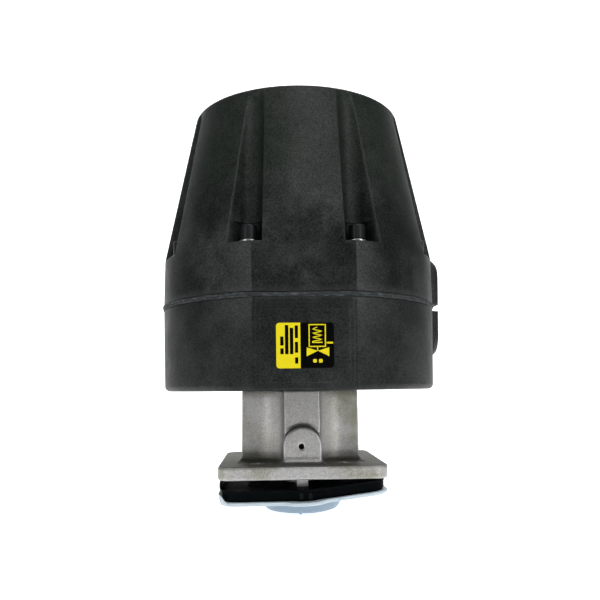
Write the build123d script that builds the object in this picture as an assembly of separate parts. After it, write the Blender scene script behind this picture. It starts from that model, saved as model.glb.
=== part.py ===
"""Air-opened, spring-closed diaphragm valve head: actuator, bonnet and hanging diaphragm.

Millimetres, +Z up along the spindle. The origin is the centre of the bonnet flange's underside,
and the front, which carries the rating label, faces -Y. The spindle is drawn at its lowest place.
"""

from build123d import *
import os
from math import sin, cos, tan, radians

os.makedirs("parts", exist_ok=True)

# ---- clearances ----
CUT = 1.0                    # how far a cutting tool runs past the face that it opens
running_clearance = 0.05     # radial, spindle in its bushing and seals
fit_clearance = 0.1          # radial, a fixed piece in its seat
bolt_clearance = 0.25        # radial, a bolt or screw in its hole
body_gap = 0.3               # between faces of pieces that move past each other

# ---- bonnet flange and neck ----
flange_width = 92.4
flange_corner = 8.0
flange_thickness = 7.3
flange_edge = 0.7
flange_hole_radius = 4.5
hole_spacing_x = 52.0
hole_spacing_y = 46.0
neck_height = 40.6
neck_reach = 34.4
arm_width = 19.6
arm_edge = 1.2
neck_root_radius = 2.4
spot_face_radius = 10.2
spot_face_depth = 0.5
weep_pad_width = 21.0
weep_pad_height = 27.4
weep_pad_proud = 2.0
weep_hole_radius = 1.4
weep_hole_height = 17.1
weep_hole_offset = -0.6
spigot_radius = 17.0
spigot_height = 8.5

# ---- compressor, spindle and stroke ----
stroke = 10.0
spindle_radius = 7.0
stub_radius = 5.0
compressor_radius = 11.0
compressor_height = 24.0
fin_width = 6.3
fin_reach = 30.5
fin_height = 13.0
spindle_socket_depth = 14.0
socket_end_gap = 2.0
stud_end_gap = 0.5
cross_pin_depth = 5.6
chamber_head_room = 1.5
cross_pin_radius = 2.0
bushing_wall = 2.5
bushing_length = 22.0
bushing_sink = 2.0
seal_squeeze = 0.2
seal_wire_radius = 1.3
seal_count = 2
seal_spacing = 6.0

# ---- hanging valve diaphragm ----
backing_width = 88.4
backing_corner = 7.5
backing_thickness = 6.0
backing_drop = 5.6
bend_start = 3.0
bend_radius = 60.0
edge_lift_gap = 0.35
lip_width = 2.4
lip_height = 4.6
face_width = 92.3
face_corner = 9.0
face_thickness = 1.9
bulge_radius = 28.6
bulge_depth = 11.2
bulge_floor_radius = 20.5
bulge_floor_rise = 2.4
nub_radius = 0.9
nub_length = 2.1
tab_width = 18.6
tab_proud = 3.6
tab_offset = 1.5
backing_tab_width = 10.6
backing_tab_proud = 1.0
diaphragm_hole_radius = 5.2
stud_radius = 3.0
stud_head_radius = 10.0
stud_head_thickness = 2.5
stud_head_sink = 9.0

# ---- bottom cover ----
body_radius = 78.9
front_flat = 74.4
bottom_cover_height = 46.3
bottom_edge = 3.0
cover_floor = 7.0
cavity_radius = 64.0
front_panel_width = 49.0
front_panel_corner = 4.0
front_panel_lift = 0.8
label_panel_width = 44.6
label_panel_height = 36.0
label_panel_proud = 0.3
label_panel_top_inset = 6.3
label_width = 28.4
label_height = 22.3
label_corner = 1.6
label_thickness = 0.3
label_top_inset = 13.0
bonnet_screw_radius = 3.0
bonnet_screw_circle = 26.0
bonnet_screw_depth = 13.0
bonnet_screw_head_radius = 5.0
bonnet_screw_head_height = 6.0
floor_seal_wire_radius = 1.2
seal_gap = 0.02

# ---- actuator diaphragm, plates and springs ----
sheet_thickness = 2.4
sheet_edge_proud = 0.45
sheet_drop = 11.4
plate_radius = 48.0
plate_thickness = 4.0
plate_hub_radius = 13.0
plate_hub_height = 8.0
plate_ring_inner = 25.4
plate_ring_outer = 31.2
plate_ring_height = 5.0
washer_radius = 11.0
washer_thickness = 1.6
nut_across_flats = 17.0
nut_height = 8.0
stub_over_nut = 1.5
outer_coil_radius = 36.0
outer_wire_radius = 3.4
outer_turns = 7
inner_coil_radius = 22.0
inner_wire_radius = 2.2
inner_turns = 9

# ---- top cover ----
top_cover_height = 108.5
band_height = 26.2
band_draft = 2.0
cone_draft = 13.0
flat_draft = 1.8
top_edge = 1.5
top_wall = 8.0
top_cavity_top_radius = 52.0
top_cavity_bottom_radius = 60.0
straight_cavity_height = 40.0
centre_boss_radius = 17.0
centre_boss_drop = 9.0
cap_recess_radius = 13.0
cap_recess_depth = 9.0

# ---- cover bolts in their flutes ----
bolt_count = 8
bolt_circle = 71.3
bolt_radius = 2.0
bolt_head_radius = 3.5
bolt_head_height = 4.0
bolt_washer_radius = 4.9
bolt_washer_thickness = 1.0
bolt_cap_radius = 4.25
bolt_cap_height = 7.5
bolt_cap_lift = 0.4
bolt_cap_edge = 1.3
ledge_height = 25.6
flute_radius = 6.3
flute_flare = 25.0
flute_lean = 4.8
pocket_radius = 7.9
pocket_height = 11.6
insert_radius = 3.6
insert_length = 14.0
bolt_engagement = 12.0

# ---- air ports ----
port_radius = 5.7
port_insert_radius = 7.6
port_insert_length = 13.0
port_pad_width = 26.0
port_pad_proud = 3.2
port_pad_slope = 2.6
upper_pad_height = 28.0
lower_pad_height = 27.0
pad_seam_gap = 0.6
port_inset = 13.8
port_duct_radius = 2.5

# ---- position indicator ----
indicator_radius = 3.0
indicator_tail_radius = 1.9
indicator_tail_length = 8.0
indicator_clearance = 0.4
indicator_rest_drop = 1.6
indicator_edge = 0.9
cap_flange_radius = 17.0
cap_flange_height = 3.0
cap_dome_radius = 12.4
cap_dome_height = 4.6
cap_wall = 2.6
cap_flange_edge = 1.2
cap_dome_edge = 2.8
cap_seal_wire_radius = 0.9

# ---- levels, from the flange's underside upwards ----
neck_top = flange_thickness + neck_height
spigot_top = neck_top + spigot_height
floor_top = neck_top + cover_floor
sheet_bottom = neck_top + bottom_cover_height
sheet_top = sheet_bottom + sheet_thickness
band_top = sheet_top + band_height
cover_top = sheet_top + top_cover_height
ledge_z = sheet_top + ledge_height
ceiling_z = cover_top - top_wall
recess_floor = cover_top - cap_recess_depth
boss_bottom = ceiling_z - centre_boss_drop
disc_bottom = sheet_bottom - sheet_drop
disc_top = disc_bottom + sheet_thickness
shoulder_z = disc_bottom - plate_thickness - plate_hub_height
upper_plate_top = disc_top + plate_thickness
nut_bottom = upper_plate_top + washer_thickness
stub_top = nut_bottom + nut_height + stub_over_nut
compressor_bottom = -backing_drop
compressor_top = compressor_bottom + compressor_height
spindle_bottom = compressor_top - spindle_socket_depth
backing_bottom = -backing_drop - backing_thickness
face_bottom = backing_bottom - face_thickness
bushing_radius = spindle_radius + bushing_wall
bushing_top = spigot_top - bushing_sink
bushing_bottom = bushing_top - bushing_length
chamber_top = compressor_top + stroke + chamber_head_room
band_top_radius = body_radius - band_height * tan(radians(band_draft))
cone_height = cover_top - band_top
cover_top_radius = band_top_radius - cone_height * tan(radians(cone_draft))
bolt_angles = [360.0 / bolt_count * (k + 0.5) for k in range(bolt_count)]
lower_port_z = sheet_bottom - port_inset
upper_port_z = sheet_top + port_inset
pad_face = body_radius + port_pad_proud


def tube(outer, inner, bottom, top):
    """A plain ring between two levels."""
    return Pos(0, 0, bottom) * extrude(Circle(outer) - Circle(inner), top - bottom)


def rod(radius, bottom, top):
    """A plain round bar between two levels."""
    return Pos(0, 0, bottom) * extrude(Circle(radius), top - bottom)


def block(x_range, y_range, z_range):
    """A rectangular block from its three ranges."""
    size = [b - a for a, b in (x_range, y_range, z_range)]
    middle = [(a + b) / 2 for a, b in (x_range, y_range, z_range)]
    return Pos(*middle) * Box(*size)


def around(piece, radius, angles):
    """Copies of a piece that stands on the Z axis, moved out to a circle."""
    places = [(radius * sin(radians(a)), -radius * cos(radians(a)), a) for a in angles]
    return [Pos(x, y, 0) * Rot(0, 0, a) * piece for x, y, a in places]


def torus_ring(radius, wire_radius, z):
    """An O-ring lying flat at a level."""
    section = Plane.XZ * Pos(radius, z) * Circle(wire_radius)
    return revolve(section, Axis.Z)


def turned(points):
    """A solid turned about Z from radius and height pairs."""
    outline = Plane.XZ * make_face(Polyline(*points, close=True))
    return revolve(outline, Axis.Z)


def coil_spring(radius, wire_radius, bottom, top, turns):
    """A helical spring with both ends ground flat."""
    rise = top - bottom
    path = Pos(0, 0, bottom) * Helix(rise / turns, rise, radius)
    section = Plane(origin=path @ 0, z_dir=path % 0) * Circle(wire_radius)
    coil = sweep(section, path=path)
    reach = radius + 2 * wire_radius
    return coil & rod(reach, bottom, top)


def bolt_places(x_spacing, y_spacing):
    """The four corners of a rectangular hole pattern."""
    return [(sx * x_spacing / 2, sy * y_spacing / 2) for sx in (-1, 1) for sy in (-1, 1)]


# ---- bonnet ----

def neck_section():
    """Four-armed cross, with a round scallop between the arms around each flange bolt."""
    reach = neck_reach
    cross = RectangleRounded(2 * reach, 2 * reach, arm_edge)
    scallop_x = hole_spacing_x / 2
    scallop_y = hole_spacing_y / 2
    radius_x = scallop_x - arm_width / 2
    radius_y = scallop_y - arm_width / 2
    for sx in (-1, 1):
        for sy in (-1, 1):
            cross -= Pos(sx * scallop_x, sy * scallop_y) * Ellipse(radius_x, radius_y)
            cross -= Pos(sx * (scallop_x + reach / 2), sy * scallop_y) * Rectangle(reach, 2 * radius_y)
            cross -= Pos(sx * scallop_x, sy * (scallop_y + reach / 2)) * Rectangle(2 * radius_x, reach)
            corner = Rectangle(reach, reach)
            cross -= Pos(sx * (scallop_x + reach / 2), sy * (scallop_y + reach / 2)) * corner
    return cross


def weep_pad():
    """Tombstone pad on the front arm, with a sloped shoulder over its arch."""
    half = weep_pad_width / 2
    front = neck_reach + weep_pad_proud
    rise = weep_pad_proud + CUT
    centre_z = weep_pad_height - half
    foot_z = flange_thickness - CUT
    stem_height = centre_z - foot_z
    arch = Pos(0, centre_z + rise) * Circle(half)
    arch += Pos(0, centre_z + rise - stem_height / 2) * Rectangle(2 * half, stem_height)
    back = Plane.XZ.offset(neck_reach - CUT) * arch
    slope = Vector(0, -rise, -rise)
    shoulder = extrude(back, amount=slope.length, dir=slope)
    return shoulder + block((-half, half), (-front, CUT - neck_reach), (foot_z, centre_z))


def make_bonnet():
    """Cast bonnet: square flange, scalloped neck, spigot and the compressor's chamber."""
    plate = extrude(RectangleRounded(flange_width, flange_width, flange_corner), flange_thickness)
    rims = plate.edges().group_by(Axis.Z)
    plate = fillet(rims[0] + rims[-1], flange_edge)
    foot = Pos(0, 0, flange_thickness - CUT) * extrude(neck_section(), neck_height + CUT)
    bonnet = plate + foot
    level = [e for e in bonnet.edges() if abs(e.center().Z - flange_thickness) < 0.001]
    root = [e for e in level if max(abs(e.center().X), abs(e.center().Y)) < neck_reach + 0.001]
    bonnet = fillet(root, neck_root_radius)
    bonnet += weep_pad()
    bonnet += rod(spigot_radius, neck_top, spigot_top)
    bonnet -= rod(compressor_radius + CUT, -CUT, chamber_top)
    slot = fin_width / 2 + body_gap
    reach = fin_reach + 2 * body_gap
    slot_top = compressor_bottom + fin_height + stroke + body_gap
    bonnet -= block((-reach, reach), (-slot, slot), (-CUT, slot_top))
    bonnet -= block((-slot, slot), (-reach, reach), (-CUT, slot_top))
    bonnet -= rod(spindle_radius + 2 * body_gap, 0, spigot_top + CUT)
    bonnet -= rod(bushing_radius, bushing_bottom, spigot_top + CUT)
    spot_floor = flange_thickness - spot_face_depth
    spot_face = rod(spot_face_radius, spot_floor, flange_thickness + spot_face_depth)
    for x, y in bolt_places(hole_spacing_x, hole_spacing_y):
        bonnet -= Pos(x, y, 0) * (rod(flange_hole_radius, -CUT, neck_top - CUT) + spot_face)
    weep = Plane.XZ * Pos(weep_hole_offset, weep_hole_height) * Circle(weep_hole_radius)
    bonnet -= extrude(weep, neck_reach + weep_pad_proud + CUT)
    tapped = rod(bonnet_screw_radius, neck_top - bonnet_screw_depth - CUT, neck_top + CUT)
    for hole in around(tapped, bonnet_screw_circle, (0, 90, 180, 270)):
        bonnet -= hole
    bonnet -= floor_seal_groove()
    return bonnet


def floor_seal_groove():
    """Groove in the spigot's side for the cover's seal."""
    z = neck_top + cover_floor / 2
    half = floor_seal_wire_radius + fit_clearance
    return tube(spigot_radius + CUT, spigot_radius - 2 * floor_seal_wire_radius, z - half, z + half)


def make_floor_seal():
    """O-ring between the bonnet's spigot and the bottom cover."""
    z = neck_top + cover_floor / 2
    return torus_ring(spigot_radius - floor_seal_wire_radius, floor_seal_wire_radius - seal_gap, z)


def make_bonnet_screws():
    """Four socket screws that hold the bottom cover down on the neck's arms."""
    shank = rod(bonnet_screw_radius, neck_top - bonnet_screw_depth, floor_top)
    head = rod(bonnet_screw_head_radius, floor_top, floor_top + bonnet_screw_head_height)
    socket = extrude(RegularPolygon(bonnet_screw_radius, 6), bonnet_screw_head_height / 2 + CUT)
    screw = shank + head - Pos(0, 0, floor_top + bonnet_screw_head_height / 2) * socket
    return around(screw, bonnet_screw_circle, (0, 90, 180, 270))


def make_bushing():
    """Plain bearing of the spindle, with grooves for its seals."""
    bushing = tube(bushing_radius, spindle_radius + running_clearance, bushing_bottom, bushing_top)
    for z in seal_levels():
        half = seal_wire_radius + fit_clearance
        groove_radius = spindle_radius + 2 * seal_wire_radius - seal_squeeze
        bushing -= tube(groove_radius, spindle_radius, z - half, z + half)
    return bushing


def seal_levels():
    """Heights of the spindle's seals."""
    first = (bushing_bottom + bushing_top) / 2 - seal_spacing * (seal_count - 1) / 2
    return [first + seal_spacing * k for k in range(seal_count)]


def make_spindle_seals():
    """O-rings around the spindle, inside the bushing."""
    wire = seal_wire_radius - seal_squeeze
    radius = spindle_radius + running_clearance + wire
    return [torus_ring(radius, wire, z) for z in seal_levels()]


def make_bushing_ring():
    """Retaining ring that keeps the bushing in the spigot."""
    return tube(bushing_radius - fit_clearance, spindle_radius + body_gap, bushing_top, spigot_top)


# ---- compressor and spindle ----

def make_compressor():
    """Finned pusher on the spindle's end that presses the diaphragm's back."""
    hub = rod(compressor_radius, compressor_bottom, compressor_top)
    half = fin_width / 2
    fin_top = compressor_bottom + fin_height
    fins = block((-fin_reach, fin_reach), (-half, half), (compressor_bottom, fin_top))
    fins += block((-half, half), (-fin_reach, fin_reach), (compressor_bottom, fin_top))
    compressor = hub + fins
    compressor -= rod(spindle_radius + fit_clearance, spindle_bottom, compressor_top + CUT)
    compressor -= rod(stud_radius + fit_clearance, compressor_bottom - CUT, spindle_bottom - socket_end_gap)
    compressor -= cross_pin(fit_clearance, compressor_radius + CUT)
    return compressor


def cross_pin(grow, half_length):
    """The dowel's shape, along X through the hub and the spindle."""
    z = compressor_top - cross_pin_depth
    section = Plane.YZ * Pos(0, z) * Circle(cross_pin_radius + grow)
    return extrude(section, half_length, both=True)


def make_spindle():
    """Turned spindle with a shoulder under the lower plate and a threaded stub above it."""
    spindle = rod(spindle_radius, spindle_bottom, shoulder_z)
    spindle += rod(stub_radius, shoulder_z, stub_top)
    spindle -= cross_pin(fit_clearance, spindle_radius + CUT)
    spindle -= rod(indicator_tail_radius, stub_top - indicator_tail_length, stub_top + CUT)
    return spindle


def make_stud():
    """Diaphragm stud: its head is moulded into the backing, its shank screws into the compressor."""
    head_top = -backing_drop - stud_head_sink
    shank_top = spindle_bottom - socket_end_gap - stud_end_gap
    stud = rod(stud_radius, head_top, shank_top)
    return stud + rod(stud_head_radius, head_top - stud_head_thickness, head_top)


# ---- hanging diaphragm ----

def bent_slab(top, thickness, width, corner):
    """A plate that hangs level on the left and bends up towards the flange on the right."""
    half = width / 2 + 2 * CUT
    rise = backing_drop - edge_lift_gap
    slope_end = backing_width / 2
    left = Vector(-half, top)
    knee = Vector(bend_start, top)
    climb = rise / (slope_end - bend_start)
    right = Vector(half, top + climb * (half - bend_start))
    upper = FilletPolyline(left, knee, right, radius=bend_radius)
    lower_left = Vector(left.X, left.Y - thickness)
    lower_knee = Vector(knee.X + climb * thickness / 2, knee.Y - thickness)
    lower_right = Vector(right.X, lower_knee.Y + climb * (half - lower_knee.X))
    lower = FilletPolyline(lower_left, lower_knee, lower_right, radius=bend_radius)
    ends = Line(upper @ 0, lower @ 0) + Line(upper @ 1, lower @ 1)
    profile = make_face(Curve() + [upper, lower, ends])
    slab = extrude(Plane.XZ * profile, width, both=True)
    outline = RectangleRounded(width, width, corner)
    depth = 4 * backing_drop + thickness
    return slab & Pos(0, 0, top - depth) * extrude(outline, 2 * depth)


def bulge(shrink, top):
    """The round belly under the diaphragm's middle, from a level downwards."""
    floor_z = face_bottom - bulge_depth + shrink
    knee_radius = bulge_floor_radius - shrink
    knee_z = floor_z + bulge_floor_rise
    rim_radius = bulge_radius - shrink
    floor_mid = Vector(knee_radius / 2, floor_z + bulge_floor_rise / 4)
    side_mid = Vector((knee_radius + 2 * rim_radius) / 3, (2 * knee_z + face_bottom) / 3)
    floor_arc = ThreePointArc((0, floor_z), floor_mid, (knee_radius, knee_z))
    side_arc = ThreePointArc((knee_radius, knee_z), side_mid, (rim_radius, face_bottom))
    rest = Polyline((rim_radius, face_bottom), (rim_radius, top), (0, top), (0, floor_z))
    return revolve(Plane.XZ * make_face(floor_arc + side_arc + rest), Axis.Z)


def diaphragm_holes():
    """Clearance holes for the flange bolts, with room for the slant."""
    tool = rod(diaphragm_hole_radius, face_bottom - bulge_depth, flange_thickness)
    return [Pos(x, y, 0) * tool for x, y in bolt_places(hole_spacing_x, hole_spacing_y)]


def backing_body():
    """The backing before its holes and sockets are cut."""
    body = bent_slab(-backing_drop, backing_thickness, backing_width, backing_corner)
    tab_edge = -backing_width / 2 - backing_tab_proud
    tab_x = (tab_offset - backing_tab_width / 2, tab_offset + backing_tab_width / 2)
    body += block(tab_x, (tab_edge, tab_edge + 4), (backing_bottom, -backing_drop))
    return body + bulge(face_thickness, backing_bottom + CUT)


def make_backing():
    """Rubber backing of the valve diaphragm, with a lip along its left edge."""
    body = backing_body()
    side = -backing_width / 2
    run = backing_width / 2 - backing_corner
    lip_top = -backing_drop + lip_height
    body += block((side, side + lip_width), (-run, run), (-backing_drop - CUT, lip_top))
    body -= rod(compressor_radius + body_gap, -backing_drop, CUT)
    half = fin_width / 2 + body_gap
    reach = fin_reach + body_gap
    body -= block((-reach, reach), (-half, half), (-backing_drop, CUT))
    body -= block((-half, half), (-reach, reach), (-backing_drop, CUT))
    head_top = -backing_drop - stud_head_sink
    body -= rod(stud_radius + fit_clearance, head_top, CUT)
    socket = stud_head_radius + fit_clearance
    body -= rod(socket, head_top - stud_head_thickness - fit_clearance, head_top + fit_clearance)
    for hole in diaphragm_holes():
        body -= hole
    return body


def make_face_sheet():
    """Fluoropolymer face of the diaphragm, which touches the medium."""
    body = bent_slab(backing_bottom, face_thickness, face_width, face_corner)
    tab_y = tab_width / 2 - face_width / 2 - tab_proud
    body += Pos(tab_offset, tab_y, 0) * rod(tab_width / 2, face_bottom, backing_bottom)
    belly = bulge(0.0, backing_bottom) - bulge(face_thickness, backing_bottom + CUT)
    body = body + belly - backing_body()
    tip = face_bottom - bulge_depth
    body += Pos(0, 0, tip - nub_length) * extrude(Circle(nub_radius), nub_length + face_thickness / 2)
    for hole in diaphragm_holes():
        body -= hole
    return body


# ---- bottom cover ----

def front_cutter(distance, draft, bottom, top):
    """Everything in front of the front flat, which leans back by its draft."""
    reach = 2 * body_radius
    lean = (top - bottom) * tan(radians(draft))
    near = [(-distance, bottom), (-distance + lean, top), (-reach, top), (-reach, bottom)]
    side = Plane.YZ * make_face(Polyline(*near, close=True))
    return extrude(side, reach, both=True)


def port_pad(bottom, top, arch_up):
    """Flat-faced pad on the +X side, with an arch at one end and a sloped edge all round."""
    half = port_pad_width / 2
    height = top - bottom
    arch_z = top - half if arch_up else bottom + half
    square_z = (bottom + arch_z) / 2 if arch_up else (top + arch_z) / 2
    stem = height - half
    inner = body_radius - 3 * port_pad_proud
    section = Pos(0, arch_z) * Circle(half)
    section += Pos(0, square_z) * Rectangle(port_pad_width, stem)
    pad = extrude(Plane.YZ.offset(inner) * section, pad_face - inner)
    outer_rim = pad.faces().sort_by(Axis.X)[-1].edges()
    flat_end = bottom if arch_up else top
    sloped = [e for e in outer_rim if abs(e.center().Z - flat_end) > 0.01]
    return chamfer(sloped, port_pad_slope)


def port_bore(z):
    """Bore of an air port from the pad's face, with a narrow duct on to the inside."""
    seat = Plane.YZ.offset(pad_face - port_insert_length) * Pos(0, z) * Circle(port_insert_radius)
    duct = Plane.YZ.offset(cavity_radius / 2) * Pos(0, z) * Circle(port_duct_radius)
    return extrude(seat, port_insert_length + CUT) + extrude(duct, pad_face - cavity_radius / 2)


def make_port_insert(z):
    """Threaded metal insert moulded into a port."""
    ring = Circle(port_insert_radius) - Circle(port_radius)
    return extrude(Plane.YZ.offset(pad_face - port_insert_length) * Pos(0, z) * ring, port_insert_length)


def make_bottom_cover():
    """Lower housing: floor on the bonnet, front panel, port pad and eight inserts' seats."""
    shell = rod(body_radius, neck_top, sheet_bottom)
    shell = fillet(shell.edges().sort_by(Axis.Z)[0], bottom_edge)
    shell -= front_cutter(front_flat, 0.0, neck_top - CUT, sheet_bottom + CUT)
    half = front_panel_width / 2
    panel_bottom = neck_top + front_panel_lift
    panel = block((-half, half), (-front_flat, -cavity_radius), (panel_bottom, sheet_bottom))
    corners = panel.edges().filter_by(Axis.Y).sort_by(Axis.Z)[:2]
    shell += fillet(corners, front_panel_corner)
    plate_top = sheet_bottom - label_panel_top_inset
    plate_x = (-label_panel_width / 2, label_panel_width / 2)
    plate_y = (-front_flat - label_panel_proud, -front_flat + CUT)
    shell += block(plate_x, plate_y, (plate_top - label_panel_height, plate_top))
    shell += port_pad(sheet_bottom - pad_seam_gap - lower_pad_height, sheet_bottom - pad_seam_gap, False)
    shell -= rod(cavity_radius, floor_top, sheet_bottom + CUT)
    shell -= rod(spigot_radius + fit_clearance, neck_top - CUT, floor_top + CUT)
    hole = rod(bonnet_screw_radius + bolt_clearance, neck_top - CUT, floor_top + CUT)
    for tool in around(hole, bonnet_screw_circle, (0, 90, 180, 270)):
        shell -= tool
    seat = rod(insert_radius, sheet_bottom - insert_length, sheet_bottom + CUT)
    for tool in around(seat, bolt_circle, bolt_angles):
        shell -= tool
    shell -= port_bore(lower_port_z)
    return shell


def make_inserts():
    """Threaded inserts in the bottom cover, one under each cover bolt."""
    ring = tube(insert_radius, bolt_radius + running_clearance, sheet_bottom - insert_length, sheet_bottom)
    return around(ring, bolt_circle, bolt_angles)


def make_label():
    """Thin rating plate on the front panel."""
    centre_z = sheet_bottom - label_top_inset - label_height / 2
    front = front_flat + label_panel_proud
    outline = Pos(0, centre_z) * RectangleRounded(label_width, label_height, label_corner)
    return extrude(Plane.XZ.offset(front) * outline, label_thickness)


# ---- actuator diaphragm, plates, springs ----

def make_sheet():
    """Fabric-reinforced rubber sheet, clamped at the seam and held between the two plates."""
    land = cavity_radius - CUT
    web_foot = plate_radius + 2 * CUT
    edge = body_radius + sheet_edge_proud
    upper = [(edge, sheet_top), (land, sheet_top), (web_foot, disc_top), (stub_radius, disc_top)]
    lower = [(stub_radius, disc_bottom), (web_foot, disc_bottom), (land, sheet_bottom), (edge, sheet_bottom)]
    sheet = turned(upper + lower)
    sheet -= front_cutter(front_flat + sheet_edge_proud, 0.0, sheet_bottom - CUT, sheet_top + CUT)
    hole = rod(bolt_radius + bolt_clearance, sheet_bottom - CUT, sheet_top + CUT)
    for tool in around(hole, bolt_circle, bolt_angles):
        sheet -= tool
    return sheet


def make_lower_plate():
    """Plate under the diaphragm, with the hub that stands on the spindle's shoulder."""
    plate = tube(plate_radius, stub_radius + fit_clearance, disc_bottom - plate_thickness, disc_bottom)
    return plate + tube(plate_hub_radius, stub_radius + fit_clearance, shoulder_z, disc_bottom - plate_thickness)


def make_upper_plate():
    """Plate over the diaphragm, with the ring that keeps both springs in place."""
    plate = tube(plate_radius, stub_radius + fit_clearance, disc_top, upper_plate_top)
    ring_top = upper_plate_top + plate_ring_height
    return plate + tube(plate_ring_outer, plate_ring_inner, upper_plate_top, ring_top)


def make_washer():
    """Washer under the spindle's nut."""
    return tube(washer_radius, stub_radius + fit_clearance, upper_plate_top, nut_bottom)


def make_nut():
    """Hexagon nut that clamps both plates."""
    outline = RegularPolygon(nut_across_flats / 2, 6, major_radius=False)
    return Pos(0, 0, nut_bottom) * extrude(outline - Circle(stub_radius + running_clearance), nut_height)


# ---- top cover ----

def flute_tool():
    """Leaning groove with a round back and flared walls, which fades out towards the top."""
    flare = radians(flute_flare)
    out = body_radius - bolt_circle + 2 * flute_radius
    touch_side = flute_radius * cos(flare)
    touch_depth = flute_radius * sin(flare)
    wide = touch_side + (out - touch_depth) * tan(flare)
    back = ThreePointArc((-touch_side, touch_depth), (0, flute_radius), (touch_side, touch_depth))
    walls = Polyline((touch_side, touch_depth), (wide, -out), (-wide, -out), (-touch_side, touch_depth))
    section = Pos(0, 0, ledge_z) * make_face(back + walls)
    height = cover_top + CUT - ledge_z
    shift = height * tan(radians(flute_lean))
    direction = Vector(0, shift, height)
    return extrude(section, amount=direction.length, dir=direction)


def make_top_cover():
    """Upper housing: upright band, tapering wall with eight bolt flutes, and the indicator's recess."""
    rim = [(0, sheet_top), (body_radius, sheet_top), (band_top_radius, band_top)]
    shell = turned(rim + [(cover_top_radius, cover_top), (0, cover_top)])
    shell = fillet(shell.edges().sort_by(Axis.Z)[-1], top_edge)
    shell -= front_cutter(front_flat, flat_draft, sheet_top, cover_top + CUT)
    shell += port_pad(sheet_top + pad_seam_gap, sheet_top + pad_seam_gap + upper_pad_height, True)
    straight_top = sheet_top + straight_cavity_height
    inside = [(0, sheet_top - CUT), (top_cavity_bottom_radius, sheet_top - CUT)]
    inside += [(top_cavity_bottom_radius, straight_top), (top_cavity_top_radius, ceiling_z), (0, ceiling_z)]
    shell -= turned(inside)
    shell += rod(centre_boss_radius, boss_bottom, ceiling_z + CUT)
    shell -= rod(cap_recess_radius, recess_floor, cover_top + CUT)
    shell -= rod(indicator_radius + indicator_clearance, boss_bottom - CUT, cover_top)
    hole = rod(bolt_radius + bolt_clearance, sheet_top - CUT, ledge_z + CUT)
    pocket = rod(pocket_radius, ledge_z, ledge_z + pocket_height)
    for tool in around(hole, bolt_circle, bolt_angles):
        shell -= tool
    for tool in around(flute_tool(), bolt_circle, bolt_angles):
        shell -= tool
    for tool in around(pocket, bolt_circle, bolt_angles):
        shell -= tool
    shell -= port_bore(upper_port_z)
    return shell


# ---- bolts ----

def make_bolt_washers():
    """Washer on each flute's ledge."""
    washer = tube(bolt_washer_radius, bolt_radius + bolt_clearance, ledge_z, ledge_z + bolt_washer_thickness)
    return around(washer, bolt_circle, bolt_angles)


def make_cover_bolts():
    """Socket-head bolts through both covers and the sheet's rim."""
    head_z = ledge_z + bolt_washer_thickness
    bolt = rod(bolt_radius, sheet_bottom - bolt_engagement, head_z)
    bolt += rod(bolt_head_radius, head_z, head_z + bolt_head_height)
    socket = extrude(RegularPolygon(bolt_radius, 6), bolt_head_height)
    bolt -= Pos(0, 0, head_z + bolt_head_height / 2) * socket
    return around(bolt, bolt_circle, bolt_angles)


def make_bolt_caps():
    """Moulded cap over each bolt's head."""
    bottom = ledge_z + bolt_washer_thickness + bolt_cap_lift
    cap = rod(bolt_cap_radius, bottom, bottom + bolt_cap_height)
    cap = fillet(cap.edges().sort_by(Axis.Z)[-1], bolt_cap_edge)
    inside_top = ledge_z + bolt_washer_thickness + bolt_head_height
    cap -= rod(bolt_head_radius + running_clearance, bottom - CUT, inside_top + running_clearance)
    return around(cap, bolt_circle, bolt_angles)


# ---- position indicator ----

def make_indicator():
    """Indicator rod on the spindle's stub, which shows its top in the clear cap."""
    top = recess_floor + stroke / 2 - indicator_rest_drop
    pin = rod(indicator_radius, stub_top, top)
    pin = fillet(pin.edges().sort_by(Axis.Z)[-1], indicator_edge)
    tail_bottom = stub_top - indicator_tail_length + CUT
    return pin + rod(indicator_tail_radius - running_clearance, tail_bottom, stub_top)


def make_indicator_cap():
    """Clear screw cap over the indicator rod."""
    neck = cap_recess_radius - fit_clearance
    flange_top = cover_top + cap_flange_height
    dome_top = flange_top + cap_dome_height
    cap = rod(neck, recess_floor + body_gap, cover_top)
    rim = rod(cap_flange_radius, cover_top, flange_top)
    cap += fillet(rim.edges().sort_by(Axis.Z)[-1], cap_flange_edge)
    dome = rod(cap_dome_radius, flange_top - CUT, dome_top)
    cap += fillet(dome.edges().sort_by(Axis.Z)[-1], cap_dome_edge)
    cap -= rod(cap_dome_radius - cap_wall, recess_floor, dome_top - cap_wall)
    z = cap_seal_level()
    half = cap_seal_wire_radius + fit_clearance
    return cap - tube(neck + CUT, neck - 2 * cap_seal_wire_radius, z - half, z + half)


def cap_seal_level():
    """Height of the cap's seal, halfway down its neck."""
    return (recess_floor + cover_top) / 2


def make_cap_seal():
    """O-ring around the cap's neck."""
    wire = cap_seal_wire_radius
    return torus_ring(cap_recess_radius - wire - running_clearance, wire, cap_seal_level())


def springs():
    """The closing set: one spring inside the other, between the upper plate and the ceiling."""
    outer = coil_spring(outer_coil_radius, outer_wire_radius, upper_plate_top, ceiling_z, outer_turns)
    inner = coil_spring(inner_coil_radius, inner_wire_radius, upper_plate_top, ceiling_z, inner_turns)
    return outer, inner


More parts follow.
